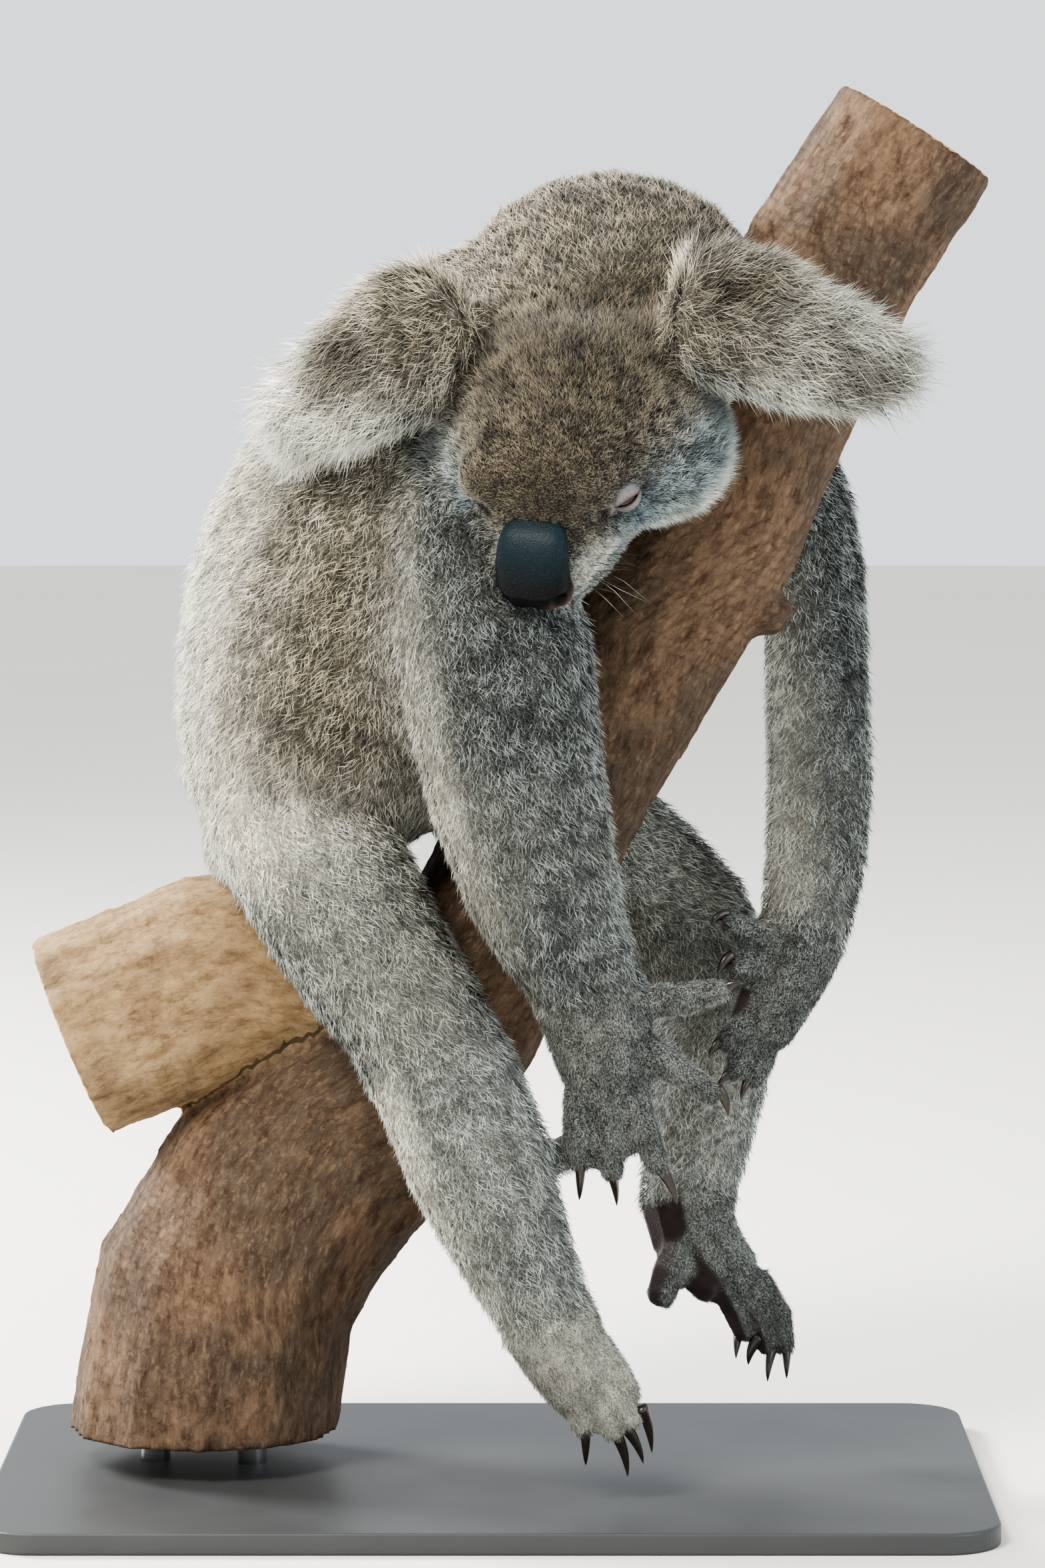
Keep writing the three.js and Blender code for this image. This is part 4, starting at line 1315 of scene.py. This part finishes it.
class KOALA_OT_claws(bpy.types.Operator):
    """Builds the curved claws, each from inside its digit out to its point"""

    bl_idname = "koala.claws"
    bl_label = "Build claws"

    def execute(self, context):
        material = horn_material()
        for name in sorted(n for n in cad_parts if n.startswith("claw_")):
            root, point, curl = self.line_of(name)
            bm = bmesh.new()
            bmesh.ops.create_cone(bm, cap_ends=True, segments=14, radius1=1, radius2=0.02, depth=1,
                                  matrix=Matrix.Translation((0, 0, 0.5)))
            bmesh.ops.subdivide_edges(bm, edges=[e for e in bm.edges if rise_of(e) > 0.5], cuts=9)
            across = (point - root).normalized().cross(curl).normalized()
            for vert in bm.verts:
                x, y, t = vert.co
                thick = math.hypot(x, y)
                run = (point - root + curl * (4 - 8 * t)).normalized()
                radius = 3.1 * MM * (1 - t ** 1.5) ** 0.8 + 0.12 * MM
                vert.co = root.lerp(point, t) + curl * (4 * t * (1 - t))
                if thick > 1e-6:
                    vert.co += (across * (0.78 * x) + run.cross(across) * y) / thick * radius
            made = piece(f"horn_{name}", mesh_from(bm, name), material, [name])
            modifier = made.modifiers.new("rounding", "SUBSURF")
            modifier.levels = modifier.render_levels = 1
        return {"FINISHED"}

    def line_of(self, name):
        """The root inside the digit, the point, and the bow between them, from the solid claw."""
        co = np.unique(np.round(read(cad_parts[name].data.vertices, "co", 3).astype(float), 6), axis=0)
        middle = co.mean(axis=0)
        axis = np.linalg.svd(co - middle)[2][0]
        along = (co - middle) @ axis
        ends = [co[along > along.max() - 0.0022], co[along < along.min() + 0.0022]]
        ends.sort(key=lambda end: np.linalg.norm(end - end.mean(axis=0), axis=1).mean())
        point, base = (Vector(end.mean(axis=0)) for end in ends)
        way = (point - base).normalized()
        bow = UP - way * way.z
        if bow.length < 0.3:
            ahead = Vector((0, -1, 0))
            bow = ahead - way * way.dot(ahead)
        return base - way * 6 * MM, point + way * 0.5 * MM, bow.normalized() * 1.5 * MM


# ------------------------------------------------------------------ perch and stand

# Where the limb was sawn, in metres, and the way each sawn end faces.
SAWN = (
    ((-0.134, 0.010, 0.026), (0, 0, -1)),
    ((0.197, 0, 0.632), Vector(STEM[-1]) - Vector(STEM[-2])),
    ((-0.196, 0.006, 0.211), Vector(BRANCH[-1]) - Vector(BRANCH[-2])),
)
SAWN_REACH = 0.08                      # from the middle of a sawn end to its rim and a little more
FORK = (-0.075, 0.01, 0.215)


def centreline(stations):
    """Close points along a smooth line through stations, the way it runs and its length up to each."""
    line = np.array(stations, float) * MM
    for _ in range(4):
        middle = np.empty((2 * len(line) - 2, 3))
        middle[0::2] = 0.75 * line[:-1] + 0.25 * line[1:]
        middle[1::2] = 0.25 * line[:-1] + 0.75 * line[1:]
        line = np.vstack([line[:1], middle, line[-1:]])
    along = np.concatenate([[0], np.cumsum(np.linalg.norm(np.diff(line, axis=0), axis=1))])
    return line, unit(np.gradient(line, axis=0)), along


def nearest_on(line, points):
    """For each point, the index of the closest point of a line, and how far it is."""
    best = np.zeros(len(points), int)
    least = np.full(len(points), 9.0)
    for index, place in enumerate(line):
        away = np.linalg.norm(points - place, axis=1)
        closer = away < least
        best[closer], least[closer] = index, away[closer]
    return best, least


class KOALA_OT_perch(bpy.types.Operator):
    """Builds the cut gum limb with its bark and sawn ends"""

    bl_idname = "koala.perch"
    bl_label = "Build perch"

    def execute(self, context):
        settings = context.scene.koala_perch
        mesh = mesh_from(remeshed(merged_copy(["perch"]), settings.voxel), "perch_limb")
        points, normals, edges = arrays_of(mesh)
        end = np.zeros(len(points))
        for at, way in SAWN:
            close = np.linalg.norm(points - at, axis=1) < SAWN_REACH
            end = np.maximum(end, close & (normals @ np.array(Vector(way).normalized()) > 0.6))
        sides = smooth(0.35, 0.9, 1 - spread(end, edges, 4))[:, None]
        points = relaxed(points, edges, 40, sides)

        # Each point's place in the grain, which runs along the stem or the branch, and how far it is
        # from the pith.
        lines = [centreline(STEM), centreline(BRANCH)]
        found = [nearest_on(line, points) for line, _, _ in lines]
        on_branch = found[1][1] < found[0][1] - 0.012
        grain = np.zeros_like(points)
        radius = np.zeros(len(points))
        for which, (line, way, along) in enumerate(lines):
            mine = on_branch if which else ~on_branch
            index = found[which][0][mine]
            off = points[mine] - line[index]
            lengthwise = np.sum(off * way[index], axis=1)
            grain[mine] = off + way[index] * (along[index] * 0.5 - lengthwise * 0.9)[:, None] + which * 0.5
            radius[mine] = np.linalg.norm(off - way[index] * lengthwise[:, None], axis=1)
        normals = moved(mesh, points)
        relief = roughened(grain, 9, 5) + 0.5 * roughened(grain, 3.5, 6) + 0.9 * roughened(points, 40, 7)
        fork = smooth(95, 35, np.linalg.norm(points - FORK, axis=1) / MM)
        fold = np.abs(roughened(points, 22, 8)) * fork * 2.2
        rise = (relief - fold) * settings.ridge * sides.ravel()
        points = points + normals * rise[:, None]
        moved(mesh, points)
        worn = spread(on_branch * 1.0, edges, 14) * smooth(-0.6, 0.5, roughened(points, 30, 9) + 0.4)
        keep(mesh, "grain", "FLOAT_VECTOR", grain)
        keep(mesh, "ring", "FLOAT", radius)
        keep(mesh, "worn", "FLOAT", worn * 0.85)
        sawn = [min(end[v] for v in face.vertices) > 0.5 for face in mesh.polygons]
        mesh.polygons.foreach_set("material_index", np.array(sawn, np.int32))
        mesh.update()
        piece("perch_limb", mesh, [bark_material(), sawn_material()], ["perch"])
        return {"FINISHED"}


def rounded(bm, edges, width, segments):
    """Rounds edges off over a width."""
    bmesh.ops.bevel(bm, geom=edges, offset=width, affect="EDGES", segments=segments, profile=0.5,
                    material=-1)


class KOALA_OT_stand(bpy.types.Operator):
    """Builds the board and the rods that hold the perch"""

    bl_idname = "koala.stand"
    bl_label = "Build stand"

    def execute(self, context):
        settings = context.scene.koala_stand
        low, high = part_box("stand_base")
        bm = bmesh.new()
        place = Matrix.Translation((low + high) / 2) @ Matrix.Diagonal((*(high - low), 1))
        bmesh.ops.create_cube(bm, size=1, matrix=place)
        upright = [e for e in bm.edges if rise_of(e) > (high.z - low.z) / 2]
        rounded(bm, upright, settings.corner, 14)
        rims = [e for e in bm.edges if rise_of(e) < 1e-6
                and any(abs(f.normal.z) < 0.5 for f in e.link_faces)]
        rounded(bm, rims, settings.bevel, 3)
        piece("stand_board", mesh_from(bm, "stand_board", False), lacquer_material(),
              ["stand_base"])
        steel = steel_material()
        for name in ("stand_rod_1", "stand_rod_2"):
            low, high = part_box(name)
            bm = bmesh.new()
            radius = (high.x - low.x) / 2
            bmesh.ops.create_cone(bm, cap_ends=True, segments=48, radius1=radius, radius2=radius,
                                  depth=high.z - low.z, matrix=Matrix.Translation((low + high) / 2))
            rounded(bm, [e for e in bm.edges if rise_of(e) < 1e-6], 0.6 * MM, 2)
            piece(f"{name}_steel", mesh_from(bm, name), steel, [name])
        return {"FINISHED"}


# ------------------------------------------------------------------ stage

TARGET = Vector((0.0152, 0, 0.331))    # what the camera and the lights are aimed at
# The soft round lights: where, how wide in metres, how strong in watts, and their colour.
LIGHTS = {
    "key": ((-1.1, -1.6, 2.4), 1.0, 92, "#fff6ea"),
    "fill": ((2.2, -1.6, 1.1), 1.8, 26, "#e6f1fb"),
    "rim": ((-1.9, 1.1, 1.5), 0.9, 118, "#ffffff"),
}


def aimed(name, data, place, way):
    """Puts a light or a camera in the scene at a place, looking one way."""
    made = in_scene(name, data)
    made.location = place
    made.rotation_euler = way.to_track_quat("-Z", "Y").to_euler()
    return made


class KOALA_OT_stage(bpy.types.Operator):
    """Sets the floor, the soft lights and the camera"""

    bl_idname = "koala.stage"
    bl_label = "Set stage"

    def execute(self, context):
        settings = context.scene.koala_stage
        scene = context.scene
        bm = bmesh.new()
        bmesh.ops.create_circle(bm, cap_ends=True, segments=96, radius=9)
        floor = in_scene("floor", mesh_from(bm, "floor", False))
        floor.data.materials.append(floor_material())

        world = bpy.data.worlds.new("studio air")
        world.use_nodes = True
        background = world.node_tree.nodes["Background"]
        background.inputs["Color"].default_value = linear("#e9edf0")
        background.inputs["Strength"].default_value = 1.1
        scene.world = world
        scene.view_settings.look = "AgX - High Contrast"
        for name, (place, across, power, colour) in LIGHTS.items():
            data = bpy.data.lights.new(name, "AREA")
            data.shape, data.size, data.energy, data.color = "DISK", across, power, linear(colour)[:3]
            aimed(name, data, place, TARGET - Vector(place)).visible_camera = False

        data = bpy.data.cameras.new("camera")
        data.sensor_fit, data.sensor_height = "VERTICAL", 36
        data.lens, data.clip_end = settings.lens, 60
        away = Vector((0, -math.cos(settings.elevation), math.sin(settings.elevation)))
        scene.camera = aimed("camera", data, TARGET + away * settings.distance, -away)
        return {"FINISHED"}


# ------------------------------------------------------------------ panel and run

OPERATORS = (
    KOALA_OT_stage, KOALA_OT_skin, KOALA_OT_coat, KOALA_OT_eyes, KOALA_OT_nose, KOALA_OT_bristles,
    KOALA_OT_claws, KOALA_OT_perch, KOALA_OT_stand,
)
SETTINGS = {
    "koala_skin": SkinSettings, "koala_coat": CoatSettings, "koala_nose": NoseSettings,
    "koala_claws": ClawSettings, "koala_perch": PerchSettings, "koala_stand": StandSettings,
    "koala_stage": StageSettings,
}


class KOALA_PT_panel(bpy.types.Panel):
    """Settings and steps of the koala display model"""

    bl_label = "Koala display model"
    bl_idname = "KOALA_PT_panel"
    bl_space_type = "VIEW_3D"
    bl_region_type = "UI"
    bl_category = "Koala"

    def draw(self, context):
        for key in SETTINGS:
            box = self.layout.box()
            group = getattr(context.scene, key)
            for name in group.__annotations__:
                box.prop(group, name)
        for operator in OPERATORS:
            self.layout.operator(operator.bl_idname)


def register():
    for cls in (*SETTINGS.values(), *OPERATORS, KOALA_PT_panel):
        bpy.utils.register_class(cls)
    for key, cls in SETTINGS.items():
        setattr(bpy.types.Scene, key, bpy.props.PointerProperty(type=cls))


def unregister():
    for key in SETTINGS:
        delattr(bpy.types.Scene, key)
    for cls in reversed((*SETTINGS.values(), *OPERATORS, KOALA_PT_panel)):
        bpy.utils.unregister_class(cls)


def main():
    register()
    bpy.ops.koala.stage()
    bpy.ops.koala.skin()
    bpy.ops.koala.coat()
    bpy.ops.koala.eyes()
    bpy.ops.koala.nose()
    bpy.ops.koala.bristles()
    bpy.ops.koala.claws()
    bpy.ops.koala.perch()
    bpy.ops.koala.stand()


if __name__ == "__main__":
    main()
